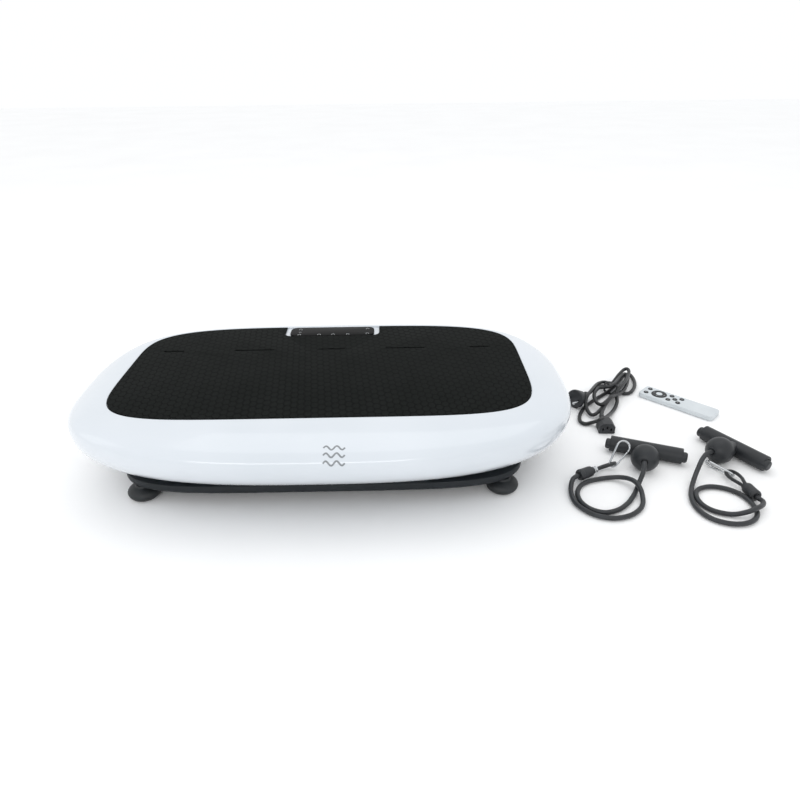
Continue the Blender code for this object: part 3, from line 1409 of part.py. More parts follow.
def cord_tie(world):
    """Strap round the hank's waist."""
    middle = HANK_Z + HANK_THICK / 2
    half = (WAIST / 2 + GAP, HANK_THICK / 2 + GAP)
    inner = rounded_box(2 * half[0], 2 * half[1], GAP / 2, points=1)
    outer = rounded_box(2 * (half[0] + TIE_WALL), 2 * (half[1] + TIE_WALL), TIE_WALL)
    place = Matrix.Translation((*TIE_AT, middle)) @ Matrix.Rotation(TIE_HEADING - math.radians(90), 4, "Z")
    place = place @ Matrix.Rotation(math.radians(90), 4, "X")
    return solid_outline(
        "cord_tie", [outer, inner], -TIE_WIDTH / 2, TIE_WIDTH / 2, "black_plastic", world, place=place,
    )


# ---- Assembly -----------------------------------------------------------------------------------------
def build_plate(plate):
    rocker = empty("rocker_axis", Matrix.Translation((0.0, 0.0, PIVOT_Z)), plate)
    crank = empty("crank_axis", Matrix.Translation((CRANK_X, 0.0, SHAFT_Z)), plate)
    motor_axis = empty("motor_axis", Matrix.Translation((MOTOR_X, 0.0, SHAFT_Z)), plate)
    switch = empty("switch_axis", Matrix.Translation(switch_axis()), plate)
    for piece in (top_shell, shell_rim, deck_mat, control_panel, control_board, deck_frame):
        piece(plate, rocker)
    pivot_shaft(plate, rocker)
    connecting_rod(plate, rocker)
    base_pan(plate)
    foot_x = BASE_HALF_LENGTH - FOOT_INSET_X
    rear = WIDEST_Y + SHELL_REAR - BASE_INSET_REAR - FOOT_INSET_Y
    front = WIDEST_Y - SHELL_FRONT + BASE_INSET_FRONT + FOOT_INSET_Y
    for end, y in (("front", front), ("rear", rear)):
        for hand, x in (("left", -foot_x), ("right", foot_x)):
            foot(f"foot_{end}_{hand}", plate, x, y)
    for end, side in (("front", -1), ("rear", 1)):
        bored_block(
            f"pivot_block_{end}", plate, 0.0, side * BLOCK_Y,
            (BLOCK_LENGTH, BLOCK_THICK, PIVOT_Z + BLOCK_WALL), PIVOT_Z, PIVOT_RADIUS + RUNNING_FIT,
        )
        bored_block(
            f"crank_block_{end}", plate, CRANK_X, side * CRANK_BLOCK_Y,
            (CRANK_BLOCK_LENGTH, CRANK_BLOCK_THICK, SHAFT_Z + CRANK_BLOCK_WALL), SHAFT_Z,
            SHAFT_RADIUS + RUNNING_FIT,
        )
    motor(plate)
    motor_cradle(plate)
    motor_pulley(plate, motor_axis)
    driven_pulley(plate, crank)
    eccentric_shaft(plate, crank)
    drive_belt(plate)
    power_board(plate)
    inlet_socket(plate)
    power_switch(plate, switch)
    band_anchor("band_anchor_left", plate, -1)
    band_anchor("band_anchor_right", plate, 1)


def build_remote(remote):
    remote_case(remote)
    keys = empty("key_travel", Matrix.Translation((0.0, 0.0, REMOTE_THICK)), remote)
    cover = empty("cover_travel", Matrix.Translation((REMOTE_LENGTH / 2, 0.0, 0.0)), remote)
    battery_cover(remote, cover)
    for name, (x, y) in KEY_PLACES.items():
        remote_key(name, remote, keys, x, y)
    key_ring(remote, keys)
    key_centre(remote, keys)


def build_band(side):
    world = empty(f"{side}_band_frame", Matrix.Identity(4))
    handle = empty(f"{side}_handle_frame", handle_frame(side))
    handle_grip(side, handle)
    ball_cap(side, handle)
    band_tube(side, world)
    band_sleeve(side, world)
    if side == "left":
        left_crimp(world)
    strap_loop(side, world)
    place = frame_from(hook_eye(side), HOOK_TOWARDS[side], HOOK_SIDE[side])
    hook = empty(f"{side}_hook_frame", place @ Matrix.Translation((-HOOK_EYE, 0.0, 0.0)))
    snap_hook(side, hook)
    gate = empty(f"{side}_gate_axis", Matrix.Translation(gate_hinge()), hook)
    hook_gate(side, hook, gate)


def build_mains_lead():
    world = empty("mains_lead_frame", Matrix.Identity(4))
    mains_plug(world)
    plug_cord(world)
    cord_hank(world)
    cord_tie(world)
    connector_cord(world)
    iec_connector(empty("connector_frame", connector_frame()))


build_plate(empty("plate_frame", Matrix.Translation((PLATE_X, 0.0, 0.0))))
build_remote(
    empty("remote_frame", Matrix.Translation((*REMOTE_AT, 0.0)) @ Matrix.Rotation(REMOTE_HEADING, 4, "Z"))
)
for hand in ("left", "right"):
    build_band(hand)
build_mains_lead()
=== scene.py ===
# %% [markdown]
# # A slim vibration plate with its remote control, two resistance bands and mains lead
#
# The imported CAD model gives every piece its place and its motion. This lesson dresses it: most outer
# pieces are made again as fine surfaces from formulas, and each finish is made from the real material's
# own facts. Everything is in metres, X runs along the plate, -Y is its front and the floor is z = 0.

import json
import math

import bmesh
import bpy
import numpy as np
from mathutils import Matrix, Vector

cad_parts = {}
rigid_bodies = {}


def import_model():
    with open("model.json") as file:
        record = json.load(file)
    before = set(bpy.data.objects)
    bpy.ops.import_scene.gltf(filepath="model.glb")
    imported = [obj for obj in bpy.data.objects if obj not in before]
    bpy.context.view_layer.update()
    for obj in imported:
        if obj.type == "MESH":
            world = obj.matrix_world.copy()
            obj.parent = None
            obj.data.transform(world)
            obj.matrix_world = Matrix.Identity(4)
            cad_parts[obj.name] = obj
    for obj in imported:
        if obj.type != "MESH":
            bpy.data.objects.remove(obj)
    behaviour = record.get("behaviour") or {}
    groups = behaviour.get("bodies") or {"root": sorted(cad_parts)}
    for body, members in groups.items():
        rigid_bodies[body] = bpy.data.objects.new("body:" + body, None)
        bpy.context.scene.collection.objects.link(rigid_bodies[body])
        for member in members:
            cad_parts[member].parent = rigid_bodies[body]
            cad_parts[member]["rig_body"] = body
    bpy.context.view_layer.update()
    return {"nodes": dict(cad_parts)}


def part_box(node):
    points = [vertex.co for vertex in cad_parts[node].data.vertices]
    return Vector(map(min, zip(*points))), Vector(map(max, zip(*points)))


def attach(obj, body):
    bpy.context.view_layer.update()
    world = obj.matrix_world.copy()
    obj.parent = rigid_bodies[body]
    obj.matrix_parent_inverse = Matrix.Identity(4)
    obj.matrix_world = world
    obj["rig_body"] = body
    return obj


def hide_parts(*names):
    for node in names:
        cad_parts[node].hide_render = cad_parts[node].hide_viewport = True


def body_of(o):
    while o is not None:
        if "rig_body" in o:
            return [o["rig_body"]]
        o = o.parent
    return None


for leftover in list(bpy.data.objects):
    bpy.data.objects.remove(leftover)
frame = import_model()

# %% [markdown]
# ## Camera
#
# The set is seen from a standing height, a little left of its middle. The camera looks down by 28.6
# degrees through a wide lens, and it comes first because loose cords are checked against its view.

# %% Camera
CAMERA_AT = (-0.0534, -0.908, 0.5864)
CAMERA_RIGHT = (0.9998, -0.0181, -0.0099)
CAMERA_AHEAD = (0.0111, 0.8780, -0.4784)
LENS_MM = 28.84


def place_camera():
    """The camera's axes are right, up = right x ahead, and back = -ahead."""
    ahead = Vector(CAMERA_AHEAD).normalized()
    right = Vector(CAMERA_RIGHT)
    right = (right - ahead * right.dot(ahead)).normalized()
    turn = Matrix((right, right.cross(ahead), -ahead)).transposed().to_4x4()
    data = bpy.data.cameras.new("camera")
    data.lens = LENS_MM
    camera = bpy.data.objects.new("camera", data)
    bpy.context.scene.collection.objects.link(camera)
    camera.matrix_world = Matrix.Translation(CAMERA_AT) @ turn
    bpy.context.scene.camera = camera


place_camera()

# %% [markdown]
# ## Colours and nodes
#
# A hex colour is how a screen shows a finish, so one function turns it into the linear light that a
# shader wants. One more function adds any node, with its settings, its values and its links.


# %% Colour and node helpers
def linear(code):
    """Each channel c of an sRGB hex colour becomes ((c + 0.055) / 1.055) ** 2.4, or c / 12.92 when dark."""
    channels = np.array([int(code[i : i + 2], 16) for i in (1, 3, 5)]) / 255
    bright = ((channels + 0.055) / 1.055) ** 2.4
    return (*np.where(channels > 0.04045, bright, channels / 12.92).tolist(), 1.0)


def node(tree, kind, settings=None, **inputs):
    """Adds one node. An input takes a value or another node's output socket; _ stands for a space."""
    made = tree.nodes.new("ShaderNode" + kind)
    for key, value in (settings or {}).items():
        setattr(made, key, value)
    for key, value in inputs.items():
        socket = made.inputs[
            int(key[1:]) if key[0] == "i" and key[1:].isdigit() else key.replace("_", " ")
        ]
        if isinstance(value, bpy.types.NodeSocket):
            tree.links.new(value, socket)
        else:
            socket.default_value = value
    return made.outputs[0]


def math_node(tree, operation, *values):
    """One step of arithmetic on sockets or numbers."""
    return node(tree, "Math", {"operation": operation}, **{f"i{i}": v for i, v in enumerate(values)})


def new_finish(name, **shader_values):
    """An empty material whose shader has these values, its node tree, its shader and object coordinates."""
    material = bpy.data.materials.new(name)
    material.use_nodes = True
    tree = material.node_tree
    shader = tree.nodes["Principled BSDF"]
    for key, value in shader_values.items():
        shader.inputs[key.replace("_", " ")].default_value = value
    place = tree.nodes.new("ShaderNodeTexCoord").outputs["Object"]
    return material, tree, shader, place


def drift(tree, place, low, high, patch, detail=3.0):
    """A colour that wanders between two hex colours in patches of the given size in metres."""
    cloud = node(tree, "TexNoise", Vector=place, Scale=1 / patch, Detail=detail)
    spread = node(tree, "MapRange", Value=cloud, From_Min=0.3, From_Max=0.7)
    return node(tree, "MixRGB", Fac=spread, Color1=linear(low), Color2=linear(high))


def grain(tree, place, size, height, after=None, detail=2.0, strength=1.0):
    """A bump of fine noise: size is the grain's width and height its depth, both in metres."""
    noise = node(tree, "TexNoise", Vector=place, Scale=1 / size, Detail=detail)
    more = {} if after is None else {"Normal": after}
    return node(tree, "Bump", Height=noise, Distance=height, Strength=strength, **more)


def moulded(name, low, high, patch, rough, size, height, **shader_values):
    """A moulded or rolled surface: a colour that drifts, uneven gloss and a fine grain."""
    material, tree, shader, place = new_finish(name, **shader_values)
    tree.links.new(drift(tree, place, low, high, patch), shader.inputs["Base Color"])
    wear = node(tree, "TexNoise", Vector=place, Scale=1.0 / (patch * 0.37), Detail=4.0)
    gloss = node(tree, "MapRange", Value=wear, To_Min=rough[0], To_Max=rough[1])
    tree.links.new(gloss, shader.inputs["Roughness"])
    tree.links.new(grain(tree, place, size, height), shader.inputs["Normal"])
    return material


# %% [markdown]
# ## Surfaces from formulas
#
# A surface here is a stack of rings: ring i, point j. A lathe makes the rings from a profile, a sweep
# carries one round a path, and a plan outline gives them for the plate. Whole arrays are worked out at
# once, and one function turns any stack into a closed mesh.


# %% Mesh helpers
def finish_mesh(mesh, sharp=40.0):
    """Turns the faces outwards, shades them smooth and keeps creases sharper than the given angle."""
    shape = bmesh.new()
    shape.from_mesh(mesh)
    bmesh.ops.recalc_face_normals(shape, faces=shape.faces)
    shape.to_mesh(mesh)
    shape.free()
    mesh.shade_smooth()
    mesh.set_sharp_from_angle(angle=math.radians(sharp))


def skin_parts(rings, loop=False, along=None):
    """Points, quads, caps and quad UVs of a closed surface through rings of shape (rings, points, 3).

    Quad (i, j) joins points j and j + 1 of rings i and i + 1. Each end closes with triangles to its mean
    point, unless the last ring joins the first."""
    rings = np.asarray(rings, float)
    n, m = rings.shape[:2]
    i = np.arange(n if loop else n - 1)[:, None]
    j = np.arange(m)[None, :]
    k = (j + 1) % m
    up = (i + 1) % n
    quads = np.stack(np.broadcast_arrays(i * m + j, i * m + k, up * m + k, up * m + j), -1).reshape(-1, 4)
    points = rings.reshape(-1, 3)
    caps = np.zeros((0, 3), int)
    if not loop:
        points = np.vstack([points, rings[0].mean(0), rings[-1].mean(0)])
        j, k = j[0], k[0]
        last = (n - 1) * m
        caps = np.vstack([
            np.stack([k, j, np.full(m, n * m)], 1), np.stack(
                [last + j, last + k, np.full(m, n * m + 1)], 1
            )
        ])
    run = np.arange(n) if along is None else np.asarray(along)
    u0, u1 = np.repeat(run[: len(i)], m), np.repeat(np.roll(run, -1)[: len(i)], m)
    v0 = np.tile(np.arange(m) / m, len(i))
    v1 = v0 + 1 / m
    uvs = np.stack([np.stack(pair, 1) for pair in ((u0, v0), (u0, v1), (u1, v1), (u1, v0))], 1)
    return points, quads, caps, uvs


def piece(name, parts, material, sharp=40.0):
    """One object from one or more closed surfaces, each given as skin_parts gives it."""
    points, faces, uvs = [], [], []
    start = 0
    for corners, quads, caps, corner_uvs in parts:
        points.append(corners)
        faces += (quads + start).tolist() + (caps + start).tolist()
        uvs += [corner_uvs.reshape(-1, 2), np.zeros((caps.size, 2))]
        start += len(corners)
    mesh = bpy.data.meshes.new(name)
    mesh.from_pydata(np.vstack(points), [], faces)
    layer = mesh.uv_layers.new(name="run_round")
    layer.data.foreach_set("uv", np.vstack(uvs).astype(np.float32).ravel())
    mesh.materials.append(material)
    finish_mesh(mesh, sharp)
    made = bpy.data.objects.new(name, mesh)
    bpy.context.scene.collection.objects.link(made)
    return made


def skin(name, rings, material, sharp=40.0, **how):
    return piece(name, [skin_parts(rings, **how)], material, sharp)


def moved(rings, place):
    """The rings carried by a 4 x 4 matrix."""
    matrix = np.array(place)
    return np.asarray(rings) @ matrix[:3, :3].T + matrix[:3, 3]


def lathe(profile, place=Matrix.Identity(4), sides=64):
    """Rings of a turned shape: (radius, height) becomes radius * (cos a, sin a) at that height."""
    profile = np.asarray(profile, float)
    turn = np.linspace(0, 2 * np.pi, sides, endpoint=False)
    radius = np.maximum(profile[:, :1], 1e-5)
    height = np.broadcast_to(profile[:, 1:], (len(profile), sides))
    rings = np.stack([radius * np.cos(turn), radius * np.sin(turn), height], -1)
    return moved(rings, place)


def rounded(points, radius, steps=6):
    """Each corner P of a line becomes a parabola between points the given distance before and after it."""
    p = np.asarray(points, float)
    corner = p[1:-1]
    back, ahead = p[:-2] - corner, p[2:] - corner
    reach = np.broadcast_to(np.asarray(radius, float).reshape(-1, 1), (len(corner), 1))
    start = corner + back * np.minimum(reach / np.linalg.norm(back, axis=1, keepdims=True), 0.5)
    end = corner + ahead * np.minimum(reach / np.linalg.norm(ahead, axis=1, keepdims=True), 0.5)
    t = np.linspace(0, 1, steps)[None, :, None]
    arcs = (1 - t) ** 2 * start[:, None] + 2 * t * (1 - t) * corner[:, None] + t**2 * end[:, None]
    return np.vstack([p[:1], arcs.reshape(-1, p.shape[1]), p[-1:]])


def lengths_along(path):
    return np.concatenate([[0.0], np.cumsum(np.linalg.norm(np.diff(path, axis=0), axis=1))])


def even(path, step):
    """The same line with points at an even step."""
    run = lengths_along(path)
    wanted = np.linspace(0, run[-1], max(2, round(run[-1] / step) + 1))
    return np.stack([np.interp(wanted, run, path[:, i]) for i in range(path.shape[1])], 1)


def through(points, step):
    """A Catmull-Rom curve: between b and c it is half of 2b + (c-a)t + (2a-5b+4c-d)t2 + (3b-a-3c+d)t3."""
    p = np.asarray(points, float)
    p = np.vstack([2 * p[0] - p[1], p, 2 * p[-1] - p[-2]])
    t = np.linspace(0, 1, 16, endpoint=False)[None, :, None]
    a, b, c, d = p[:-3, None], p[1:-2, None], p[2:-1, None], p[3:, None]
    fine = (2 * b + (c - a) * t + (2 * a - 5 * b + 4 * c - d) * t**2 + (3 * b - a - 3 * c + d) * t**3) / 2
    return even(np.vstack([fine.reshape(-1, 3), p[-2]]), step)


def sweep(path, radius, sides=24, up=(0.0, 0.0, 1.0)):
    """Rings of a round tube: at each point, radius * (cos a * side + sin a * normal), side = tangent x up."""
    path = np.asarray(path, float)
    tangent = np.gradient(path, axis=0)
    tangent /= np.linalg.norm(tangent, axis=1, keepdims=True)
    side = np.cross(tangent, np.asarray(up, float))
    side /= np.linalg.norm(side, axis=1, keepdims=True)
    normal = np.cross(side, tangent)
    turn = np.linspace(0, 2 * np.pi, sides, endpoint=False)[None, :, None]
    reach = np.broadcast_to(np.asarray(radius, float), (len(path),))[:, None, None]
    return path[:, None] + reach * (np.cos(turn) * side[:, None] + np.sin(turn) * normal[:, None])


def box_rings(low, high, edge=0.0003):
    """A block with small rounded edges, as four-sided rings drawn in at top and bottom."""
    low, high = np.asarray(low, float), np.asarray(high, float)
    inset = np.array([edge, edge * 0.3, 0.0, 0.0, edge * 0.3, edge])
    height = np.array([0.0, edge * 0.3, edge, -edge, -edge * 0.3, 0.0])
    z = np.where(np.arange(6) < 3, low[2] + height, high[2] + height)
    signs = np.array([(-1, -1), (1, -1), (1, 1), (-1, 1)])
    middle, half = (low + high)[:2] / 2, (high - low)[:2] / 2
    flat = middle + signs[None] * (half[None, None] - inset[:, None, None])
    return np.concatenate([flat, np.broadcast_to(z[:, None, None], (6, 4, 1))], -1)


def carve(target, others, operation="DIFFERENCE", sharp=40.0):
    """Cuts the others from the target, or joins them to it, and keeps only the result."""
    for other in others:
        modifier = target.modifiers.new(operation.lower(), "BOOLEAN")
        modifier.operation = operation
        modifier.object = other
        modifier.solver = "EXACT"
    bpy.context.view_layer.update()
    graph = bpy.context.evaluated_depsgraph_get()
    mesh = bpy.data.meshes.new_from_object(target.evaluated_get(graph))
    target.modifiers.clear()
    target.data = mesh
    for other in others:
        bpy.data.objects.remove(other)
    mesh.shade_smooth()
    mesh.set_sharp_from_angle(angle=math.radians(sharp))
    return target


def stand_for(made, *names):
    """The piece takes the place of these CAD nodes and rides on the body of the first."""
    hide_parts(*names)
    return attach(made, BODY_OF[names[0]])


BODY_OF = {name: body_of(thing)[0] for name, thing in frame["nodes"].items()}
print("bodies:", sorted(set(BODY_OF.values())))

# %% [markdown]
# ## Finishes of the cords, bands and plugs
#
# The lead's jacket is extruded soft PVC, which stays smooth and a little glossy. The bands are dipped
# latex tubes: smooth, dark and powdery where they rub. The grips, ball caps, plugs and sleeves are
# moulded, so they have a fine spark-eroded texture. The strap loops are braided, which a pattern along
# and round the cord draws.

# %% Black soft materials
# Extruded PVC: smooth, with a slow waviness from the die and gloss that dulls where it was handled.
PVC_JACKET = moulded(
    "extruded_pvc_jacket", "#131416", "#1b1d20", 0.012, (0.30, 0.44), 0.0016, 0.00006,
    IOR=1.53, Specular_IOR_Level=0.45,
)
# Dipped latex: very smooth, with a faint bloom of powder that lifts the black to a cool grey.
LATEX_TUBE = moulded(
    "dipped_latex_tube", "#1b1d20", "#282b2f", 0.020, (0.34, 0.55), 0.0009, 0.00004,
    IOR=1.52, Sheen_Weight=0.08, Sheen_Roughness=0.4,
)
# Moulded polypropylene: a grain of about 0.4 mm, drawn a little coarser so that it shows.
MOULDED_GRIP = moulded(
    "moulded_polypropylene", "#171a1d", "#212428", 0.030, (0.38, 0.52), 0.0007, 0.00005,
    IOR=1.49, Specular_IOR_Level=0.5,
)
MOULDED_PLUG = moulded(
    "moulded_soft_pvc", "#1b1d20", "#26292d", 0.010, (0.42, 0.58), 0.0006, 0.00006, IOR=1.53,
)
# Nickel plating over bent wire: bright, with drawing marks too fine to see but as a spread highlight.
PLATED_WIRE = moulded(
    "nickel_plated_wire", "#c9cbcd", "#b4b7ba", 0.006, (0.14, 0.30), 0.0004, 0.00002, Metallic=1.0,
)
print("band and lead finishes ready")


# %% Braided strap
def braided_strap():
    """Two sets of yarns wind round the cord: waves of (run +- turn) cross, and the higher one shows; the
    hollows between them are painted darker, as shade.
    """
    material, tree, shader, _ = new_finish("braided_polyester", IOR=1.50, Sheen_Weight=0.25)
    uv = tree.nodes.new("ShaderNodeUVMap")
    uv.uv_map = "run_round"
    split = tree.nodes.new("ShaderNodeSeparateXYZ")
    tree.links.new(uv.outputs["UV"], split.inputs[0])
    turns = 6.0  # yarns each way round the cord
    pitch = 0.0022  # metres of cord for one yarn
    along = math_node(tree, "MULTIPLY", split.outputs[0], 1 / pitch)
    around = math_node(tree, "MULTIPLY", split.outputs[1], turns)
    waves = []
    for way in (1.0, -1.0):
        phase = math_node(tree, "MULTIPLY_ADD", around, way, along)
        waves.append(math_node(tree, "PINGPONG", phase, 0.5))
    height = math_node(tree, "MAXIMUM", *waves)
    # Painted shade: the weave itself is real, but its hollows are coloured near black and the raised yarn mid
    # grey, as light and shade on yarns of one colour.
    shaded_tone = node(tree, "MixRGB", Fac=height, Color1=linear("#0c0d0e"), Color2=linear("#34373b"))
    tree.links.new(shaded_tone, shader.inputs["Base Color"])
    tree.links.new(
        node(tree, "MapRange", Value=height, To_Min=0.9, To_Max=0.6), shader.inputs["Roughness"]
    )
    tree.links.new(node(tree, "Bump", Height=height, Distance=0.0004), shader.inputs["Normal"])
    return material


BRAID = braided_strap()

# %% [markdown]
# ## Resistance bands
#
# Each band is one latex tube. It leaves the bore of the ball cap, drops to the floor, goes round in two
# loose turns and ends in a moulded sleeve. Its centreline is a smooth curve through points on the floor,
# and a sweep carries a circle along it.

# %% Where the handles and sleeves are
HANDLE_AT = {"left": (0.3565, -0.0378), "right": (0.5014, -0.0373)}
HANDLE_HEADING = {"left": math.radians(157.0), "right": math.radians(120.0)}
BAR_RADIUS = 0.0127
BALL_RADIUS = 0.0215
BALL_REACH = 0.041
BAND_DIAMETER = 0.0072
BAND_INSERT = 0.008
BAND_ROUTE = {
    "left": (
        (0.3260, -0.1100, 0.0195), (0.3175, -0.1220, 0.0092), (0.3105, -0.1330, 0.0042),
        (0.3000, -0.1490, 0.0038), (0.2860, -0.1660, 0.0038), (0.2680, -0.1800, 0.0038),
        (0.2470, -0.1855, 0.0038), (0.2290, -0.1770, 0.0038), (0.2195, -0.1600, 0.0038),
        (0.2195, -0.1400, 0.0038), (0.2280, -0.1225, 0.0038), (0.2425, -0.1110, 0.0038),
        (0.2610, -0.1045, 0.0038), (0.2810, -0.1025, 0.0048), (0.2970, -0.1080, 0.0085),
        (0.3065, -0.1190, 0.0120), (0.3110, -0.1310, 0.0127), (0.3125, -0.1420, 0.0105),
        (0.3120, -0.1530, 0.0065), (0.3080, -0.1670, 0.0040), (0.2980, -0.1810, 0.0038),
        (0.2810, -0.1930, 0.0038), (0.2580, -0.1985, 0.0038), (0.2360, -0.1930, 0.0038),
        (0.2205, -0.1800, 0.0038), (0.2110, -0.1620, 0.0038), (0.2100, -0.1420, 0.0040),
        (0.2135, -0.1240, 0.0062), (0.2195, -0.1110, 0.0095),
    ),
    "right": (
        (0.4365, -0.0750, 0.0268), (0.4260, -0.0850, 0.0225), (0.4150, -0.0990, 0.0140),
        (0.4040, -0.1150, 0.0075), (0.3940, -0.1320, 0.0042), (0.3850, -0.1520, 0.0038),
        (0.3815, -0.1720, 0.0038), (0.3850, -0.1910, 0.0038), (0.3950, -0.2055, 0.0038),
        (0.4120, -0.2145, 0.0038), (0.4310, -0.2160, 0.0038), (0.4480, -0.2100, 0.0038),
        (0.4595, -0.1985, 0.0038), (0.4650, -0.1830, 0.0038), (0.4650, -0.1650, 0.0038),
        (0.4590, -0.1480, 0.0038), (0.4450, -0.1350, 0.0038), (0.4260, -0.1290, 0.0038),
        (0.4090, -0.1320, 0.0038), (0.3975, -0.1410, 0.0038), (0.3920, -0.1550, 0.0038),
        (0.3925, -0.1700, 0.0038), (0.3985, -0.1820, 0.0038), (0.4100, -0.1905, 0.0038),
        (0.4270, -0.1960, 0.0045), (0.4450, -0.1970, 0.0090), (0.4600, -0.1930, 0.0124),
        (0.4720, -0.1850, 0.0110), (0.4785, -0.1750, 0.0095),
    ),
}
SLEEVE_AT = {"left": (0.2300, -0.1040, 0.0112), "right": (0.4755, -0.1629, 0.0092)}
SLEEVE_TOWARDS = {"left": (0.898, 0.440, 0.0), "right": (-0.141, 0.990, 0.0)}
SLEEVE_LENGTH = 0.024
SLEEVE_NECK = 0.004


def handle_frame(side):
    """The bar's middle: X along the bar, Y along the stem, which rises to the ball's centre."""
    tilt = math.asin((BALL_RADIUS - BAR_RADIUS) / BALL_REACH)
    turn = Matrix.Rotation(HANDLE_HEADING[side], 4, "Z") @ Matrix.Rotation(tilt, 4, "X")
    return Matrix.Translation((*HANDLE_AT[side], BAR_RADIUS)) @ turn


def stem_line(side):
    """The ball's centre and the direction in which the band leaves it."""
    place = handle_frame(side)
    return np.array(place @ Vector((0, BALL_REACH, 0))), np.array(place.to_3x3() @ Vector((0, 1, 0)))


def sleeve_line(side):
    line = np.array(SLEEVE_TOWARDS[side])
    return np.array(SLEEVE_AT[side]), line / np.linalg.norm(line)


# %% Band tubes
def band_tube(side):
    """The tube and its centreline, from inside the ball cap to inside the sleeve."""
    ball, stem = stem_line(side)
    sleeve, line = sleeve_line(side)
    mouth = ball + stem * (BALL_RADIUS + BAND_DIAMETER * 0.4)
    route = np.vstack([mouth, BAND_ROUTE[side], sleeve - line * BAND_DIAMETER * 0.4])
    path = np.vstack([
        ball + stem * (BALL_RADIUS - BAND_INSERT), through(route, 0.003), sleeve + line * BAND_INSERT
    ])
    made = skin(f"{side}_band_tube", sweep(path, BAND_DIAMETER / 2, 28), LATEX_TUBE)
    return stand_for(made, f"{side}_band"), path


bands = {side: band_tube(side) for side in ("left", "right")}
for side, (_, path) in bands.items():
    print(side, "band:", round(float(lengths_along(path)[-1]), 3), "m")

# %% [markdown]
# ## Sleeves, crimp, strap loops and hooks
#
# At the band's end a sleeve hides the joint. A braided strap, doubled into an eye, comes out of its neck,
# and on the left a bright crimp holds it. A bent-wire snap hook hangs in the eye. The wire is a sweep in
# the hook's own plane: an arc round the eye, a straight side, a larger arc round the nose and a gate.

# %% Sleeves and crimp
def turn_along(start, line):
    return Matrix.Translation(Vector(start)) @ Vector(line).to_track_quat("Z", "Y").to_matrix().to_4x4()


def band_sleeve(side):
    """A barrel with soft shoulders, a rolled lip round the band and a short neck."""
    start, line = sleeve_line(side)
    bore, radius, length = BAND_DIAMETER / 2 + 0.0006, 0.0088, SLEEVE_LENGTH
    profile = (
        (0.0, BAND_INSERT), (bore, BAND_INSERT), (bore, 0.0006),
        (bore + 0.0008, 0.0), (radius * 0.88, 0.0),
        (radius, 0.0026), (radius, 0.0060), (radius * 0.955, 0.0068), (radius * 0.955, length * 0.86),
        (radius * 0.90, length), (0.0062, length),
        (0.0058, length + SLEEVE_NECK), (0.0, length + SLEEVE_NECK),
    )
    rings = lathe(rounded(profile, 0.0007), turn_along(start, line), 56)
    return stand_for(skin(f"{side}_band_sleeve", rings, MOULDED_PLUG), f"{side}_sleeve")


def crimp():
    """A pressed ring: its middle is drawn in by a tenth and both ends roll outwards."""
    start, line = sleeve_line("left")
    low = SLEEVE_LENGTH + SLEEVE_NECK + 0.0003
    profile = (
        (0.0, low), (0.0048, low), (0.0056, low + 0.0008), (0.0051, low + 0.0022), (0.0051, low + 0.0043),
        (0.0056, low + 0.0057), (0.0048, low + 0.0065), (0.0, low + 0.0065),
    )
    rings = lathe(rounded(profile, 0.0006), turn_along(start, line), 48)
    return stand_for(skin("left_strap_crimp", rings, PLATED_WIRE), "left_crimp")


fittings = {side: [band_sleeve(side)] for side in ("left", "right")}
fittings["left"].append(crimp())
print("sleeves:", [thing.name for things in fittings.values() for thing in things])

# %% Strap loops
LOOP_ROUTE = np.array((
    (0.0000, 0.0027), (0.0060, 0.0050), (0.0150, 0.0085), (0.0240, 0.0080), (0.0290, 0.0035),
    (0.0290, -0.0035), (0.0240, -0.0080), (0.0150, -0.0085), (0.0060, -0.0050), (0.0000, -0.0027),
))
LOOP_SIDE = {"left": (-0.350, 0.700, -0.620), "right": (0.985, 0.170, 0.0)}
LOOP_STRETCH = {"left": 1.2, "right": 1.35}
LOOP_DROP = {"left": 0.0, "right": -0.0012}
LOOP_RADIUS = 0.0026


def loop_frame(side):
    """The strap's start, its direction and the direction across its eye."""
    start, line = sleeve_line(side)
    reach = SLEEVE_LENGTH + SLEEVE_NECK + 0.0003 + (0.0068 if side == "left" else 0.0)
    across = np.array(LOOP_SIDE[side]) - line * np.dot(LOOP_SIDE[side], line)
    return start + line * reach, line, across / np.linalg.norm(across)


def strap_loop(side):
    """An eye of braided strap, swept in its own plane."""
    tip, line, across = loop_frame(side)
    along, off = LOOP_ROUTE[:, :1], LOOP_ROUTE[:, 1:]
    route = tip + line * along * LOOP_STRETCH[side] + across * off
    route[:, 2:] += LOOP_DROP[side] * along / LOOP_ROUTE[:, 0].max()
    path = through(route, 0.0012)
    rings = sweep(path, LOOP_RADIUS, 24, up=np.cross(line, across))
    made = piece(f"{side}_strap_eye", [skin_parts(rings, along=lengths_along(path))], BRAID)
    return stand_for(made, f"{side}_strap_loop")


for side in fittings:
    fittings[side].append(strap_loop(side))

# %% Snap hooks
HOOK_EYE_SHIFT = {"left": (0.0003, 0.0, 0.0), "right": (0.0073, -0.0025, 0.0006)}
HOOK_TOWARDS = {"left": (0.580, 0.450, 0.680), "right": (-0.600, 0.800, 0.030)}
HOOK_SIDE = {"left": (-0.790, 0.300, 0.530), "right": (-0.514, -0.386, 0.766)}
HOOK_LENGTH = 0.046
EYE_RADIUS = 0.0055
NOSE_RADIUS = 0.010
WIRE_RADIUS = 0.0016
GATE_RADIUS = 0.0013
GATE_FROM = 0.0135
GATE_TO = 0.0330
GATE_GAP = 0.0005


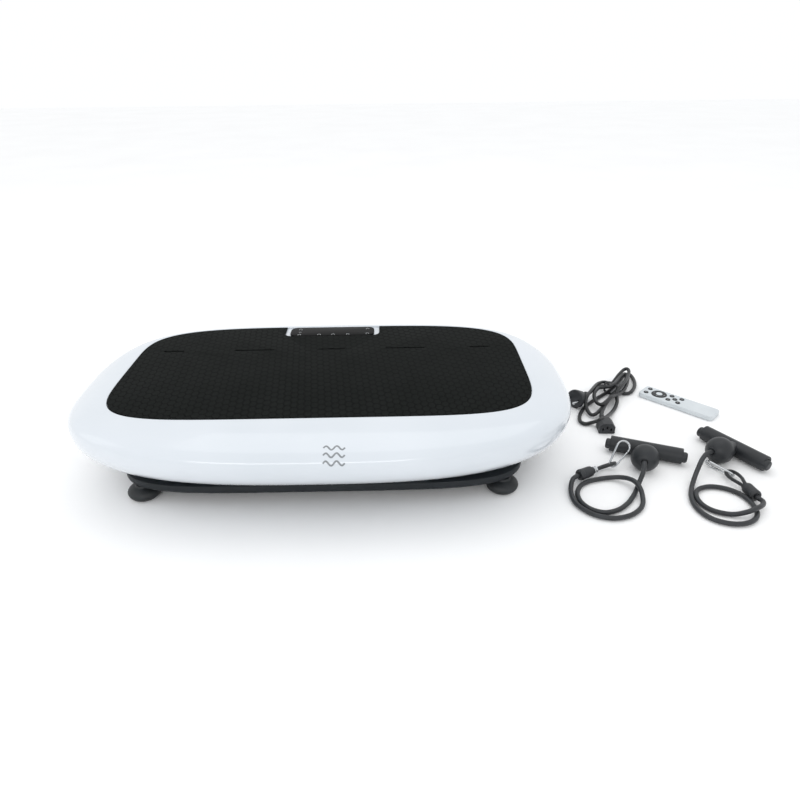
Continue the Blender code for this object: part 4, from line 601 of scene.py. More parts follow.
def hook_place(side):
    """The hook's frame: X from the eye to the nose, Y across it, with the eye's centre at EYE_RADIUS."""
    tip, line, across = loop_frame(side)
    back, aside, lift = HOOK_EYE_SHIFT[side]
    eye = tip + line * (LOOP_ROUTE[:, 0].max() * LOOP_STRETCH[side] - back) + across * aside
    eye = eye + np.array((0.0, 0.0, LOOP_DROP[side] + lift))
    x = Vector(HOOK_TOWARDS[side]).normalized()
    y = Vector(HOOK_SIDE[side])
    y = (y - x * y.dot(x)).normalized()
    turn = Matrix((x, y, x.cross(y))).transposed().to_4x4()
    return Matrix.Translation(Vector(eye)) @ turn @ Matrix.Translation((-EYE_RADIUS, 0.0, 0.0))


def gate_line(x):
    """A point on the straight line that touches both arcs on the gate's side."""
    nose = HOOK_LENGTH - NOSE_RADIUS
    lean = math.asin((NOSE_RADIUS - EYE_RADIUS) / (nose - EYE_RADIUS))
    normal = np.array((-math.sin(lean), -math.cos(lean), 0.0))
    start = np.array((EYE_RADIUS, 0.0, 0.0)) + normal * EYE_RADIUS
    run = np.array((nose, 0.0, 0.0)) + normal * NOSE_RADIUS - start
    return start + run * (x - start[0]) / run[0], lean


def hook_path():
    """Gate side, arc of EYE_RADIUS, straight side, arc of NOSE_RADIUS, and back to the gate side."""
    first, lean = gate_line(GATE_FROM)
    last, _ = gate_line(GATE_TO)
    nose = HOOK_LENGTH - NOSE_RADIUS
    a = -np.pi / 2 - lean - np.linspace(0, np.pi - 2 * lean, 40)
    b = np.pi / 2 + lean - np.linspace(0, np.pi + 2 * lean, 60)
    flat = np.zeros(len(a)), np.zeros(len(b))
    eye = np.stack([EYE_RADIUS + EYE_RADIUS * np.cos(a), EYE_RADIUS * np.sin(a), flat[0]], 1)
    arc = np.stack([nose + NOSE_RADIUS * np.cos(b), NOSE_RADIUS * np.sin(b), flat[1]], 1)
    return even(np.vstack([first, eye, arc, last]), 0.0009)


def snap_hook(side):
    """Bent wire, with its two ends rounded off."""
    path = hook_path()
    run = lengths_along(path)
    from_end = np.minimum(run, run[-1] - run)
    radius = WIRE_RADIUS * np.sqrt(
        np.clip(from_end / WIRE_RADIUS * 2 - (from_end / WIRE_RADIUS) ** 2, 0.15, 1.0)
    )
    radius = np.where(from_end > WIRE_RADIUS, WIRE_RADIUS, radius)
    place = hook_place(side)
    made = skin(f"{side}_hook_wire", moved(sweep(path, radius, 20), place), PLATED_WIRE, sharp=60.0)
    stand_for(made, f"{side}_snap_hook")
    ends = np.array([gate_line(GATE_FROM + GATE_GAP)[0], gate_line(GATE_TO - GATE_GAP)[0]])
    gate_path = even(ends, 0.0008)
    gate = skin(
        f"{side}_gate_wire", moved(sweep(gate_path, GATE_RADIUS, 18), place), PLATED_WIRE, sharp=60.0
    )
    stand_for(gate, f"{side}_hook_gate")
    return [made, gate]


for side in fittings:
    fittings[side] += snap_hook(side)

# %% [markdown]
# ## Mains lead
#
# The lead is packed as it was shipped: gathered into loops that a tie holds at the waist. It starts at the
# plug's neck, runs through the waist eight times, lies on the floor in its outer loops, rises in long low
# humps where it crosses itself, and ends at the connector's neck. One centreline carries a circle.

# %% Lead
LEAD_DIAMETER = 0.0066
LEAD_ROUTE = (
    (0.3140, 0.1540, 0.0140), (0.3205, 0.1595, 0.0135), (0.3285, 0.1710, 0.0120),
    (0.3445, 0.1900, 0.0100), (0.3560, 0.1935, 0.0100), (0.3660, 0.1940, 0.0100),
    (0.3770, 0.2020, 0.0120), (0.3855, 0.2110, 0.0160), (0.3945, 0.2220, 0.0190),
    (0.4090, 0.2390, 0.0210), (0.4170, 0.2420, 0.0220), (0.4175, 0.2320, 0.0215),
    (0.4105, 0.2150, 0.0205), (0.3955, 0.1875, 0.0215), (0.3815, 0.1680, 0.0210),
    (0.3700, 0.1535, 0.0180), (0.3670, 0.1450, 0.0120), (0.3645, 0.1325, 0.0080),
    (0.3570, 0.1175, 0.0045), (0.3435, 0.0970, 0.0050), (0.3245, 0.0685, 0.0130),
    (0.3110, 0.0520, 0.0180), (0.3040, 0.0560, 0.0120), (0.2965, 0.0640, 0.0040),
    (0.2860, 0.0620, 0.0035), (0.2800, 0.0690, 0.0035), (0.2815, 0.0835, 0.0035),
    (0.2890, 0.1015, 0.0035), (0.3005, 0.1195, 0.0035), (0.3140, 0.1355, 0.0035),
    (0.3310, 0.1520, 0.0035), (0.3475, 0.1670, 0.0035), (0.3630, 0.1810, 0.0035),
    (0.3805, 0.2015, 0.0035), (0.3980, 0.2255, 0.0035), (0.4155, 0.2475, 0.0035),
    (0.4275, 0.2545, 0.0040), (0.4300, 0.2355, 0.0035), (0.4245, 0.2090, 0.0035),
    (0.4140, 0.1880, 0.0035), (0.4025, 0.1745, 0.0035), (0.3920, 0.1720, 0.0035),
    (0.3835, 0.1760, 0.0040), (0.3705, 0.1635, 0.0080), (0.3570, 0.1450, 0.0115),
    (0.3445, 0.1290, 0.0120), (0.3295, 0.1085, 0.0100), (0.3165, 0.0930, 0.0080),
    (0.3070, 0.0880, 0.0060), (0.3025, 0.0940, 0.0060), (0.3010, 0.1095, 0.0085),
    (0.3020, 0.1220, 0.0150), (0.3075, 0.1335, 0.0215), (0.3220, 0.1565, 0.0205),
    (0.3435, 0.1915, 0.0150), (0.3605, 0.2070, 0.0110), (0.3685, 0.2010, 0.0120),
    (0.3685, 0.1815, 0.0165), (0.3750, 0.1820, 0.0185), (0.3900, 0.2065, 0.0150),
    (0.4035, 0.2270, 0.0120), (0.4140, 0.2365, 0.0110), (0.4140, 0.2225, 0.0105),
    (0.4050, 0.2005, 0.0100), (0.3935, 0.1795, 0.0100), (0.3805, 0.1620, 0.0110),
    (0.3650, 0.1450, 0.0150), (0.3510, 0.1295, 0.0190), (0.3420, 0.1215, 0.0175),
    (0.3340, 0.1140, 0.0160), (0.3265, 0.1100, 0.0150), (0.3220, 0.1190, 0.0140),
    (0.3220, 0.1355, 0.0150), (0.3270, 0.1525, 0.0170), (0.3395, 0.1705, 0.0170),
    (0.3500, 0.1720, 0.0180), (0.3590, 0.1675, 0.0215), (0.3715, 0.1770, 0.0225),
    (0.3875, 0.2010, 0.0210), (0.4015, 0.2195, 0.0200), (0.4095, 0.2245, 0.0190),
    (0.4050, 0.2080, 0.0170), (0.3940, 0.1910, 0.0150), (0.3840, 0.1810, 0.0110),
    (0.3750, 0.1760, 0.0060), (0.3615, 0.1595, 0.0050), (0.3470, 0.1350, 0.0070),
    (0.3325, 0.1085, 0.0100), (0.3245, 0.0930, 0.0100), (0.3210, 0.0850, 0.0100),
    (0.3190, 0.0783, 0.0098),
)
lead_path = through(LEAD_ROUTE, 0.0025)
lead = skin("mains_cord", sweep(lead_path, LEAD_DIAMETER / 2, 22), PVC_JACKET)
stand_for(lead, "cord_hank", "plug_cord", "connector_cord")
print("lead:", round(float(lengths_along(lead_path)[-1]), 3), "m")


# %% Plug
def plug_frame():
    """The plug's neck end: Z runs towards the pins, tipped down until the rim of the face is on the floor."""
    rise = 0.0140 - 0.0175 - 0.0006
    heading = math.radians(221.0)
    flat = Vector((math.cos(heading), math.sin(heading), 0.0))
    tilt = math.asin(rise / 0.042)
    line = flat * math.cos(tilt) - Vector((0.0, 0.0, math.sin(tilt)))
    return turn_along((0.314, 0.154, 0.014), line)


def mains_plug():
    """A cone that flares to a round face, a neck with three ribs and two round pins with soft tips."""
    place, length, radius, neck = plug_frame(), 0.042, 0.0175, 0.0060
    profile = [(0.0, length), (radius * 0.93, length), (radius, length * 0.97), (radius, length * 0.90)]
    profile += [(radius * 0.62, length * 0.50), (neck, length * 0.36)]
    for i in range(3):
        top = length * 0.33 - 0.0042 * i
        profile += [(neck, top), (neck * 0.78, top - 0.0010), (neck * 0.78, top - 0.0028)]
    profile += [(neck * 0.72, 0.0), (0.0, -0.0004)]
    body = skin("plug_body", lathe(rounded(profile, 0.0008), place, 64), MOULDED_PLUG)
    stand_for(body, "mains_plug")
    pin = rounded(
        [
            (0.0, length + 0.019), (0.0024, length + 0.019), (0.0024, length - 0.001),
            (0.0, length - 0.001)
        ],
        0.0014
    )
    pins = [
        skin_parts(moved(lathe(pin, sides=32), place @ Matrix.Translation((side * 0.0095, 0.0, 0.0))))
        for side in (-1, 1)
    ]
    return [body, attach(piece("plug_pins", pins, PLATED_WIRE), "mains_lead")]


# %% Connector
def connector_frame():
    """The connector's neck end: X runs towards its face."""
    return Matrix.Translation((0.3190, 0.078, 0.0098)) @ Matrix.Rotation(math.radians(-94.0), 4, "Z")


def connector_section(width, height, cut):
    """A rectangle whose two upper corners are cut at 45 degrees, with every corner softened."""
    w, h = width / 2, height / 2
    corners = np.array(
        [(0, -h), (w, -h), (w, h - cut), (w - cut, h), (cut - w, h), (-w, h - cut), (-w, -h), (0, -h)]
    )
    return rounded(corners, 0.0012)[:-1]


def iec_connector():
    """The section drawn from a round neck to the full body: a waist with two grip steps, then the face."""
    place = connector_frame()
    full = connector_section(0.0275, 0.0190, 0.0061)
    reach = np.linalg.norm(full, axis=1, keepdims=True)
    round_neck = full / reach
    stations = (  # distance from the neck's end, radius of the round part, share of the full section
        (0.0, 0.0043, 0.0), (0.006, 0.0047, 0.0), (0.0062, 0.0042, 0.0), (0.0082, 0.0042, 0.0),
        (0.0084, 0.0050, 0.0), (0.0115, 0.0054, 0.0), (0.0117, 0.0048, 0.0), (0.0137, 0.0050, 0.05),
        (0.0139, 0.0060, 0.15), (0.0175, 0.0076, 0.62), (0.0200, 0.0084, 0.90), (0.0215, 0.0090, 0.97),
        (0.0440, 0.0090, 1.0), (0.0447, 0.0090, 0.985), (0.0450, 0.0090, 0.95),
    )
    rings = []
    for x, radius, share in stations:
        flat = round_neck * radius * (1 - share) + full * share
        rings.append(np.column_stack([np.full(len(flat), x), flat]))
    body = skin("connector_body", moved(rings, place), MOULDED_PLUG, sharp=35.0)
    slots = []
    for i in (-1, 0, 1):
        z = 0.0018 if i == 0 else -0.0018
        block = box_rings(
            (0.033, 0.007 * i - 0.0014, z - 0.0025), (0.050, 0.007 * i + 0.0014, z + 0.0025)
        )
        slots.append(skin(f"slot_{i + 1}", moved(block, place), MOULDED_PLUG))
    return stand_for(carve(body, slots), "iec_connector")


plug_pieces = mains_plug()
connector = iec_connector()


# %% Tie
def cord_tie():
    """A flat strap round the waist: an oval loop swept as a thin band, tight round the eight passes."""
    place = Matrix.Translation((0.366, 0.1795, 0.0122)) @ Matrix.Rotation(
        math.radians(52.0 - 90.0), 4, "Z"
    )
    turn = np.linspace(0, 2 * np.pi, 72, endpoint=False)
    half = np.array((0.0118, 0.0112))
    loop = np.sign(
        np.stack([np.cos(turn), np.sin(turn)], 1)
    ) * np.abs(np.stack([np.cos(turn), np.sin(turn)], 1)) ** 0.7
    rings = []
    for grow, y in (
        (0.0, -0.003), (0.0011, -0.0031), (0.0014, 0.0), (0.0011, 0.0031), (0.0, 0.003), (-0.0003, 0.0)
    ):
        flat = loop * (half + grow)
        rings.append(np.column_stack([flat[:, 0], np.full(len(flat), y), flat[:, 1]]))
    return stand_for(skin("lead_tie", moved(rings, place), MOULDED_PLUG, loop=True), "cord_tie")


tie = cord_tie()

# %% [markdown]
# ## Outline of the plate
#
# Seen from above, the shell, the mat and the base are squared ovals: |x / a|^p + |y / b|^p = 1, with one
# depth and power for the front and another for the rear. Points are spread evenly along each quarter so
# that the tight corners of a high power stay smooth.

# %% Plans
PLATE_X = float((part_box("deck_mat")[0].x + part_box("deck_mat")[1].x) / 2)
AROUND = 96  # points in a quarter
SHELL_PLAN = np.array((0.380, 0.236, 0.210, 3.0, 2.6, 0.014))  # half, front, rear, two powers, widest y
LOWER_PLAN = np.array((0.342, 0.176, 0.152, 2.8, 2.8, 0.014))
BASE_PLAN = np.array((0.307, 0.152, 0.152, 5.0, 5.0, 0.0))
NECK_PLAN = np.array((0.303, 0.148, 0.148, 2.8, 2.8, 0.0))
RIM_Z, EQUATOR_Z, DECK_Z, RECESS_Z = 0.047, 0.115, 0.1425, 0.1403


def mat_plan(grow=0.0):
    return np.array((0.316 + grow, 0.192 + grow, 0.139 + grow, 6.0, 4.0, 0.052))


def shrunk(plan, wall):
    return plan - np.array((wall, wall, wall, 0, 0, 0))


def quarter(half, depth, power):
    """r(a) = (|cos a / half|^p + |sin a / depth|^p)^(-1/p), spread evenly along its length."""
    a = np.linspace(0, np.pi / 2, 1500)
    reach = ((np.cos(a) / half) ** power + (np.sin(a) / depth) ** power) ** (-1 / power)
    line = np.stack([reach * np.cos(a), reach * np.sin(a)], 1)
    run = lengths_along(line)
    wanted = np.linspace(0, run[-1], AROUND + 1)
    return np.interp(wanted, run, line[:, 0]), np.interp(wanted, run, line[:, 1])


def ring(plan, z):
    """One closed ring of the squared oval at height z, anticlockwise from its right end."""
    half, front, rear, power_front, power_rear, widest = plan
    xr, yr = quarter(half, rear, power_rear)
    xf, yf = quarter(half, front, power_front)
    x = np.concatenate([xr[:-1], -xr[:0:-1], -xf[:-1], xf[:0:-1]])
    y = np.concatenate([yr[:-1], yr[:0:-1], -yf[:-1], -yf[:0:-1]]) + widest
    return np.stack([x + PLATE_X, y, np.full(len(x), z)], 1)


def under_plan(share):
    return LOWER_PLAN + (SHELL_PLAN - LOWER_PLAN) * (1 - (1 - share) ** 2)


def under(share, wall=0.0):
    """Below the widest line: the plan eases out from the lower edge, share 0, to the widest line, share 1."""
    return ring(shrunk(under_plan(share), wall), RIM_Z + (EQUATOR_Z - RIM_Z) * share)


def over_plan(turn):
    return mat_plan(0.0028) + (SHELL_PLAN - mat_plan(0.0028)) * math.cos(turn)


def over(turn, wall=0.0):
    """Above it: a quarter ellipse in section, from the widest line at turn 0 to the deck at 90 degrees."""
    return ring(shrunk(over_plan(turn), wall), EQUATOR_Z + (DECK_Z - wall - EQUATOR_Z) * math.sin(turn))


# %% [markdown]
# ## Glossy shell
#
# The shell is injection-moulded ABS from a polished tool: white, glassy, with the faint waviness that
# moulders call orange peel. A clear top layer in the shader gives its second, sharper reflection.

# %% Gloss white
def gloss_white():
    """ABS: a warm-cold drift too small to name, orange peel about 9 mm wide and a coat over it."""
    material, tree, shader, place = new_finish(
        "polished_white_abs", IOR=1.54, Coat_Weight=0.6, Coat_Roughness=0.06, Coat_IOR=1.5,
    )
    tree.links.new(drift(tree, place, "#d6dbe1", "#cfd5db", 0.16), shader.inputs["Base Color"])
    hairlines = node(tree, "TexNoise", Vector=place, Scale=60.0, Detail=6.0)
    tree.links.new(
        node(tree, "MapRange", Value=hairlines, To_Min=0.16, To_Max=0.26), shader.inputs["Roughness"]
    )
    peel = grain(tree, place, 0.009, 0.00004, detail=1.0)
    tree.links.new(peel, shader.inputs["Normal"])
    tree.links.new(peel, shader.inputs["Coat Normal"])
    return material


GLOSS_WHITE = gloss_white()

# %% Shell and rim
SHELL_WALL = 0.003
RIM_FLANGE = 0.007  # how far the rim turns in underneath
RIM_HEIGHT = 0.009
SEAM = 0.0004
SEAM_SHARE = (RIM_HEIGHT + SEAM) / (EQUATOR_Z - RIM_Z)
RIM_SHARE = RIM_HEIGHT / (EQUATOR_Z - RIM_Z)


def top_shell():
    """Inner wall from the ceiling down, a rounded lower lip, outer wall up, a soft brow and the recess."""
    shares = np.linspace(SEAM_SHARE, 1, 18)[:-1]
    turns = np.radians(np.linspace(0, 90, 30))
    inner = [under(share, SHELL_WALL) for share in shares]
    inner += [over(turn, SHELL_WALL) for turn in turns[:-2]]
    inner.append(ring(shrunk(mat_plan(), SHELL_WALL), RECESS_Z - SHELL_WALL))
    lip = [under(SEAM_SHARE, 0.0004), under(SEAM_SHARE + 0.004, 0.0001)]
    outer = lip + [under(share) for share in shares[1:]] + [over(turn) for turn in turns]
    outer.append(ring(mat_plan(0.0014), DECK_Z))
    outer.append(ring(mat_plan(0.0008), DECK_Z - 0.0001))
    outer.append(ring(mat_plan(0.0006), DECK_Z - 0.0005))
    outer.append(ring(mat_plan(0.0006), RECESS_Z))
    return stand_for(skin("upper_shell", inner[::-1] + outer, GLOSS_WHITE), "top_shell")


def shell_rim():
    """A narrow band that carries the shell's curve on below the seam and turns in underneath."""
    shares = np.linspace(0, RIM_SHARE, 6)
    outer = [under(share) for share in shares]
    rings = [ring(shrunk(LOWER_PLAN, RIM_FLANGE), RIM_Z), ring(shrunk(LOWER_PLAN, 0.0008), RIM_Z), *outer]
    rings += [under(RIM_SHARE, 0.0003), under(RIM_SHARE, SHELL_WALL)]
    rings += [
        ring(shrunk(LOWER_PLAN, SHELL_WALL), RIM_Z + SHELL_WALL / 2),
        ring(shrunk(LOWER_PLAN, RIM_FLANGE), RIM_Z + SHELL_WALL / 2),
    ]
    return stand_for(skin("lower_rim", rings, GLOSS_WHITE, loop=True), "shell_rim")


shell = top_shell()
rim = shell_rim()
print("shell faces:", len(shell.data.polygons), "rim faces:", len(rim.data.polygons))

# %% [markdown]
# ## Rubber mat
#
# The mat is pressed rubber, 3 mm thick, in a shallow recess. Its tread is a net of grooves round long
# hexagons. Two staggered grids of points give it: the distance to the nearer point, measured along the
# hexagon's own directions, is largest at the groove. Five short slots are pressed in near its rear edge.

# %% Tread
def tread_rubber():
    """From the nearer of two staggered points, the groove is where max(|x|, |x| / 2 + |y| * 0.866) peaks, and
    there it is painted near black as shade.
    """
    material, tree, shader, place = new_finish("pressed_rubber_tread", IOR=1.52, Specular_IOR_Level=0.03)
    cell = (0.0150, 0.0112)  # length and depth of a hexagon: the tread's real pitch
    stretch = node(
        tree, "Mapping", Vector=place, Scale=(1 / cell[1], 1 / cell[0], 1.0),
        Rotation=(0, 0, math.radians(90 - 8))
    )
    distances = []
    for shift in ((0.0, 0.0, 0.0), (0.5, 0.866, 0.0)):
        moved_grid = node(tree, "VectorMath", {"operation": "ADD"}, i0=stretch, i1=shift)
        wrapped = node(
            tree, "VectorMath", {"operation": "WRAP"}, i0=moved_grid, i1=(0.5, 0.866, 0.5),
            i2=(-0.5, -0.866, -0.5)
        )
        flat = node(tree, "VectorMath", {"operation": "ABSOLUTE"}, i0=wrapped)
        apart = tree.nodes.new("ShaderNodeSeparateXYZ")
        tree.links.new(flat, apart.inputs[0])
        slanted = math_node(
            tree, "MULTIPLY_ADD", apart.outputs[1], 0.866,
            math_node(tree, "MULTIPLY", apart.outputs[0], 0.5)
        )
        distances.append(math_node(tree, "MAXIMUM", apart.outputs[0], slanted))
    edge = math_node(tree, "MINIMUM", *distances)
    groove = node(
        tree, "MapRange", {"interpolation_type": "SMOOTHSTEP"}, Value=edge, From_Min=0.425, From_Max=0.485
    )
    base = drift(tree, place, "#171918", "#1b1d1c", 0.05)
    scuff = node(tree, "TexNoise", Vector=place, Scale=900.0, Detail=2.0)
    pile = node(
        tree, "MixRGB",
        Fac=node(tree, "MapRange", Value=scuff, From_Min=0.35, From_Max=0.75, To_Max=0.35), Color1=base,
        Color2=linear("#252827")
    )
    # Painted shade: the grooves are coloured near black, as the shade that falls in them; the lighter scuffs
    # in the pile are real wear.
    shaded_tone = node(tree, "MixRGB", Fac=groove, Color1=pile, Color2=linear("#0c0d0d"))
    tree.links.new(shaded_tone, shader.inputs["Base Color"])
    tree.links.new(
        node(tree, "MapRange", Value=scuff, To_Min=0.62, To_Max=0.82), shader.inputs["Roughness"]
    )
    sink = math_node(tree, "MULTIPLY", groove, -1.0)
    fine = grain(tree, place, 0.0012, 0.00010)
    tree.links.new(node(tree, "Bump", Height=sink, Distance=0.0007, Normal=fine), shader.inputs["Normal"])
    return material


TREAD = tread_rubber()

# %% Mat and panel
PANEL_AT = (PLATE_X, 0.168)


def rounded_outline(length, depth, corner, centre=(0.0, 0.0), points=12):
    """A rectangle whose corners are quarter circles, anticlockwise."""
    a = np.radians(np.linspace(0, 90, points + 1))[None] + np.radians((0, 90, 180, 270))[:, None]
    signs = np.array(((1, 1), (-1, 1), (-1, -1), (1, -1)))
    middle = np.array(centre) + signs * (np.array((length, depth)) / 2 - corner)
    return (middle[:, None] + corner * np.stack([np.cos(a), np.sin(a)], -1)).reshape(-1, 2)


def slab(outline, low, high, top_edge=0.0, low_edge=0.0):
    """Rings of a plate with this outline, drawn in towards its middle by a quarter round at each edge."""
    outline = np.asarray(outline, float)
    before, after = np.roll(outline, 1, 0), np.roll(outline, -1, 0)
    way = after - before
    out = np.stack([way[:, 1], -way[:, 0]], 1) / np.linalg.norm(way, axis=1, keepdims=True)
    a = np.radians(np.linspace(0, 90, 6))
    rings = [
        (low_edge * (1 - np.sin(t)), low + low_edge * (1 - np.cos(t))) for t in a
    ] if low_edge else [(0.0, low)]
    rings += [
        (top_edge * (1 - np.cos(t)), high - top_edge * (1 - np.sin(t))) for t in a
    ] if top_edge else [(0.0, high)]
    return [np.column_stack([outline - out * inset, np.full(len(outline), z)]) for inset, z in rings]


def deck_mat():
    """The plan's rings with a softened top edge, then the panel's notch and five slots cut from it."""
    low, high = RECESS_Z + 0.0003, RECESS_Z + 0.0033
    rings = [
        ring(mat_plan(), low), ring(mat_plan(), high - 0.0010), ring(mat_plan(-0.0003), high - 0.0003)
    ]
    rings += [ring(mat_plan(-0.0010), high)]
    mat = skin("tread_mat", rings, TREAD)
    notch = rounded_outline(0.168, 0.0772, 0.012, (PANEL_AT[0], PANEL_AT[1] + 0.0193))
    cutters = [skin("notch", slab(notch, low - 0.002, high + 0.002), TREAD)]
    for left, right in (
        (-0.279, -0.245), (-0.160, -0.092), (-0.019, 0.027), (0.095, 0.162), (0.238, 0.271)
    ):
        outline = rounded_outline(right - left, 0.0042, 0.002, (PLATE_X + (left + right) / 2, 0.090))
        cutters.append(skin("slot", slab(outline, high - 0.0014, high + 0.002), TREAD))
    return stand_for(carve(mat, cutters), "deck_mat")


mat = deck_mat()
print("mat faces:", len(mat.data.polygons))

# %% [markdown]
# ## Control panel
#
# A gloss black acrylic lens lies in the mat's notch. Its keys are only printed signs that shine through: a
# power ring, arrows, a dash and dots. Here seven rings with a stroke and one dash stand for them, as thin
# inlays a twentieth of a millimetre proud.

# %% Panel
LENS = moulded(
    "smoked_acrylic_lens", "#0a0a0a", "#0e0e0e", 0.060, (0.12, 0.20), 0.0200, 0.00002,
    IOR=1.49, Specular_IOR_Level=0.04,
)
PRINT = moulded("pale_screen_print", "#9a9d9f", "#b4b7b8", 0.002, (0.35, 0.45), 0.0004, 0.00001, IOR=1.5)


def band_shape(line, width, low, high):
    """A closed ribbon of the given width along a flat line of (x, y), from height low to high."""
    line = np.asarray(line, float)
    way = np.gradient(line, axis=0)
    side = np.stack([way[:, 1], -way[:, 0]], 1) / np.linalg.norm(way, axis=1, keepdims=True) * width / 2
    a, b = line + side, line - side
    corners = [
        np.column_stack([flat, np.full(len(line), z)]) for flat,
        z in ((a, low), (a, high), (b, high), (b, low))
    ]
    return skin_parts(np.stack(corners, 1))


def arc(centre, radius, start, end, points=24):
    a = np.radians(np.linspace(start, end, points))
    return np.stack([centre[0] + radius * np.cos(a), centre[1] + radius * np.sin(a)], 1)


def lens_rings():
    outline = rounded_outline(0.150, 0.038, 0.012, PANEL_AT)
    return slab(outline, RECESS_Z + 0.0003, RECESS_Z + 0.0037, top_edge=0.0008)


panel = stand_for(skin("panel_lens", lens_rings(), LENS), "control_panel")
top = RECESS_Z + 0.0037
signs = []
for x, y in (
    (-0.058, 0.177), (-0.058, 0.153), (-0.023, 0.153), (0.002, 0.153), (0.028, 0.153), (0.063, 0.177),
    (0.063, 0.155)
):
    signs.append(band_shape(arc((PLATE_X + x, y), 0.0026, -50, 230), 0.0007, top - 0.0001, top + 0.00005))
    signs.append(
        band_shape(
            [(PLATE_X + x, y + 0.0010), (PLATE_X + x, y + 0.0032)], 0.0007, top - 0.0001, top + 0.00005
        )
    )
signs.append(
    band_shape(
        [(PLATE_X - 0.0605, 0.165), (PLATE_X - 0.0555, 0.165)], 0.0009, top - 0.0001, top + 0.00005
    )
)
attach(piece("panel_signs", signs, PRINT), "deck")
print("panel signs:", len(signs))

# %% [markdown]
# ## Mark on the front
#
# The shell's front carries a small grey printed mark. Here it is a plain sign of three waves, for
# vibration. Each wave is a ribbon laid on the shell: x and the distance up the shell's profile are its two
# parameters, and the surface's own formula gives y.

# %% Wave mark
MARK_GREY = moulded("grey_pad_print", "#7d8184", "#8b8f92", 0.004, (0.30, 0.40), 0.0006, 0.00001, IOR=1.5)


def front_profile():
    """Stations up the shell: plan, height and distance along the profile at the middle of the front."""
    plans = [under_plan(share) for share in np.linspace(0.2, 1, 60)] + [
        over_plan(t) for t in np.radians(np.linspace(1, 60, 60))
    ]
    heights = np.concatenate([
        RIM_Z + (EQUATOR_Z - RIM_Z) * np.linspace(0.2, 1, 60),
        EQUATOR_Z + (DECK_Z - EQUATOR_Z) * np.sin(np.radians(np.linspace(1, 60, 60))),
    ])
    plans = np.array(plans)
    line = np.stack([plans[:, 5] - plans[:, 1], heights], 1)
    return plans, heights, lengths_along(line)


def on_front(x, rise):
    """At x from the middle and rise up the profile, y = widest - front (1 - |x / half|^p)^(1/p)."""
    plans, heights, run = front_profile()
    half, front, power, widest = (np.interp(rise, run, plans[:, i]) for i in (0, 1, 3, 5))
    y = widest - front * (1 - np.abs(x / half) ** power) ** (1 / power)
    return np.stack([x + PLATE_X, y, np.interp(rise, run, heights)], -1)


def wave_mark(middle_x, middle_rise):
    """Three waves 28 mm long, 2.2 mm thick and 11 mm apart, 0.3 mm proud of the shell."""
    t = np.linspace(-1, 1, 61)
    parts = []
    for level in (-1, 0, 1):
        x = middle_x + 0.014 * t
        rise = middle_rise + 0.0110 * level + 0.0030 * np.sin(2 * np.pi * t)
        slope = np.gradient(rise) / np.hypot(np.gradient(x), np.gradient(rise))
        flat = np.gradient(x) / np.hypot(np.gradient(x), np.gradient(rise))
        edges = [on_front(x - slope * w, rise + flat * w) for w in (-0.0011, 0.0011)]
        out = np.array((0.0, -1.0, 0.0))
        corners = [
            edges[0] + out * 0.0003, edges[0] - out * 0.0003, edges[1] - out * 0.0003,
            edges[1] + out * 0.0003
        ]
        parts.append(skin_parts(np.stack(corners, 1)))
    return parts


heights = front_profile()
mark_rise = float(np.interp(0.1280, heights[1], heights[2]))
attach(piece("front_wave_mark", wave_mark(0.029, mark_rise), MARK_GREY), "deck")

# %% [markdown]
# ## Base and feet
#
# The base is a tray of textured charcoal plastic with a soft lower edge and a shoulder, behind which its
# wall goes up inside the rim. A boss on its rear wall takes the mains inlet. The feet are turned rubber:
# a short neck, a dome and a lip that holds the floor.

# %% Base
CASING = moulded(
    "spark_textured_abs", "#191d20", "#212529", 0.060, (0.42, 0.58), 0.0011, 0.00010,
    IOR=1.53, Specular_IOR_Level=0.25,
)
FOOT_RUBBER = moulded(
    "moulded_foot_rubber", "#15181a", "#1e2225", 0.015, (0.45, 0.65), 0.0009, 0.00008, IOR=1.52,
)


def base_pan():
    """Rings of the tray, outside then inside; the fillet is a quarter round of 6 mm."""
    turns = np.radians(np.linspace(0, 90, 8))
    rings = [
        ring(
            shrunk(BASE_PLAN, 0.006 * (1 - math.sin(t))), 0.022 + 0.006 * (1 - math.cos(t))
        ) for t in turns
    ]
    rings += [ring(BASE_PLAN, 0.0355), ring(shrunk(BASE_PLAN, 0.0004), 0.0362), ring(NECK_PLAN, 0.040)]
    rings += [
        ring(NECK_PLAN, 0.060), ring(shrunk(NECK_PLAN, 0.003), 0.060),
        ring(shrunk(NECK_PLAN, 0.003), 0.0376)
    ]
    rings += [ring(shrunk(BASE_PLAN, 0.003), 0.0336), ring(shrunk(BASE_PLAN, 0.003), 0.028)]
    rings += [ring(shrunk(BASE_PLAN, 0.0075), 0.025)]
    pan = skin("base_tray", rings, CASING)
    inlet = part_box("inlet_socket")
    x, z = (inlet[0].x + inlet[1].x) / 2, (inlet[0].z + inlet[1].z) / 2
    boss = skin(
        "boss", box_rings((x - 0.0325, 0.144, z - 0.0120), (x + 0.0325, 0.153, z + 0.0120), 0.0008),
        CASING
    )
    carve(pan, [boss], "UNION")
    hole = skin(
        "hole", box_rings((x - 0.0283, 0.130, z - 0.0098), (x + 0.0283, 0.160, z + 0.0098)), CASING
    )
    return stand_for(carve(pan, [hole]), "base_pan")


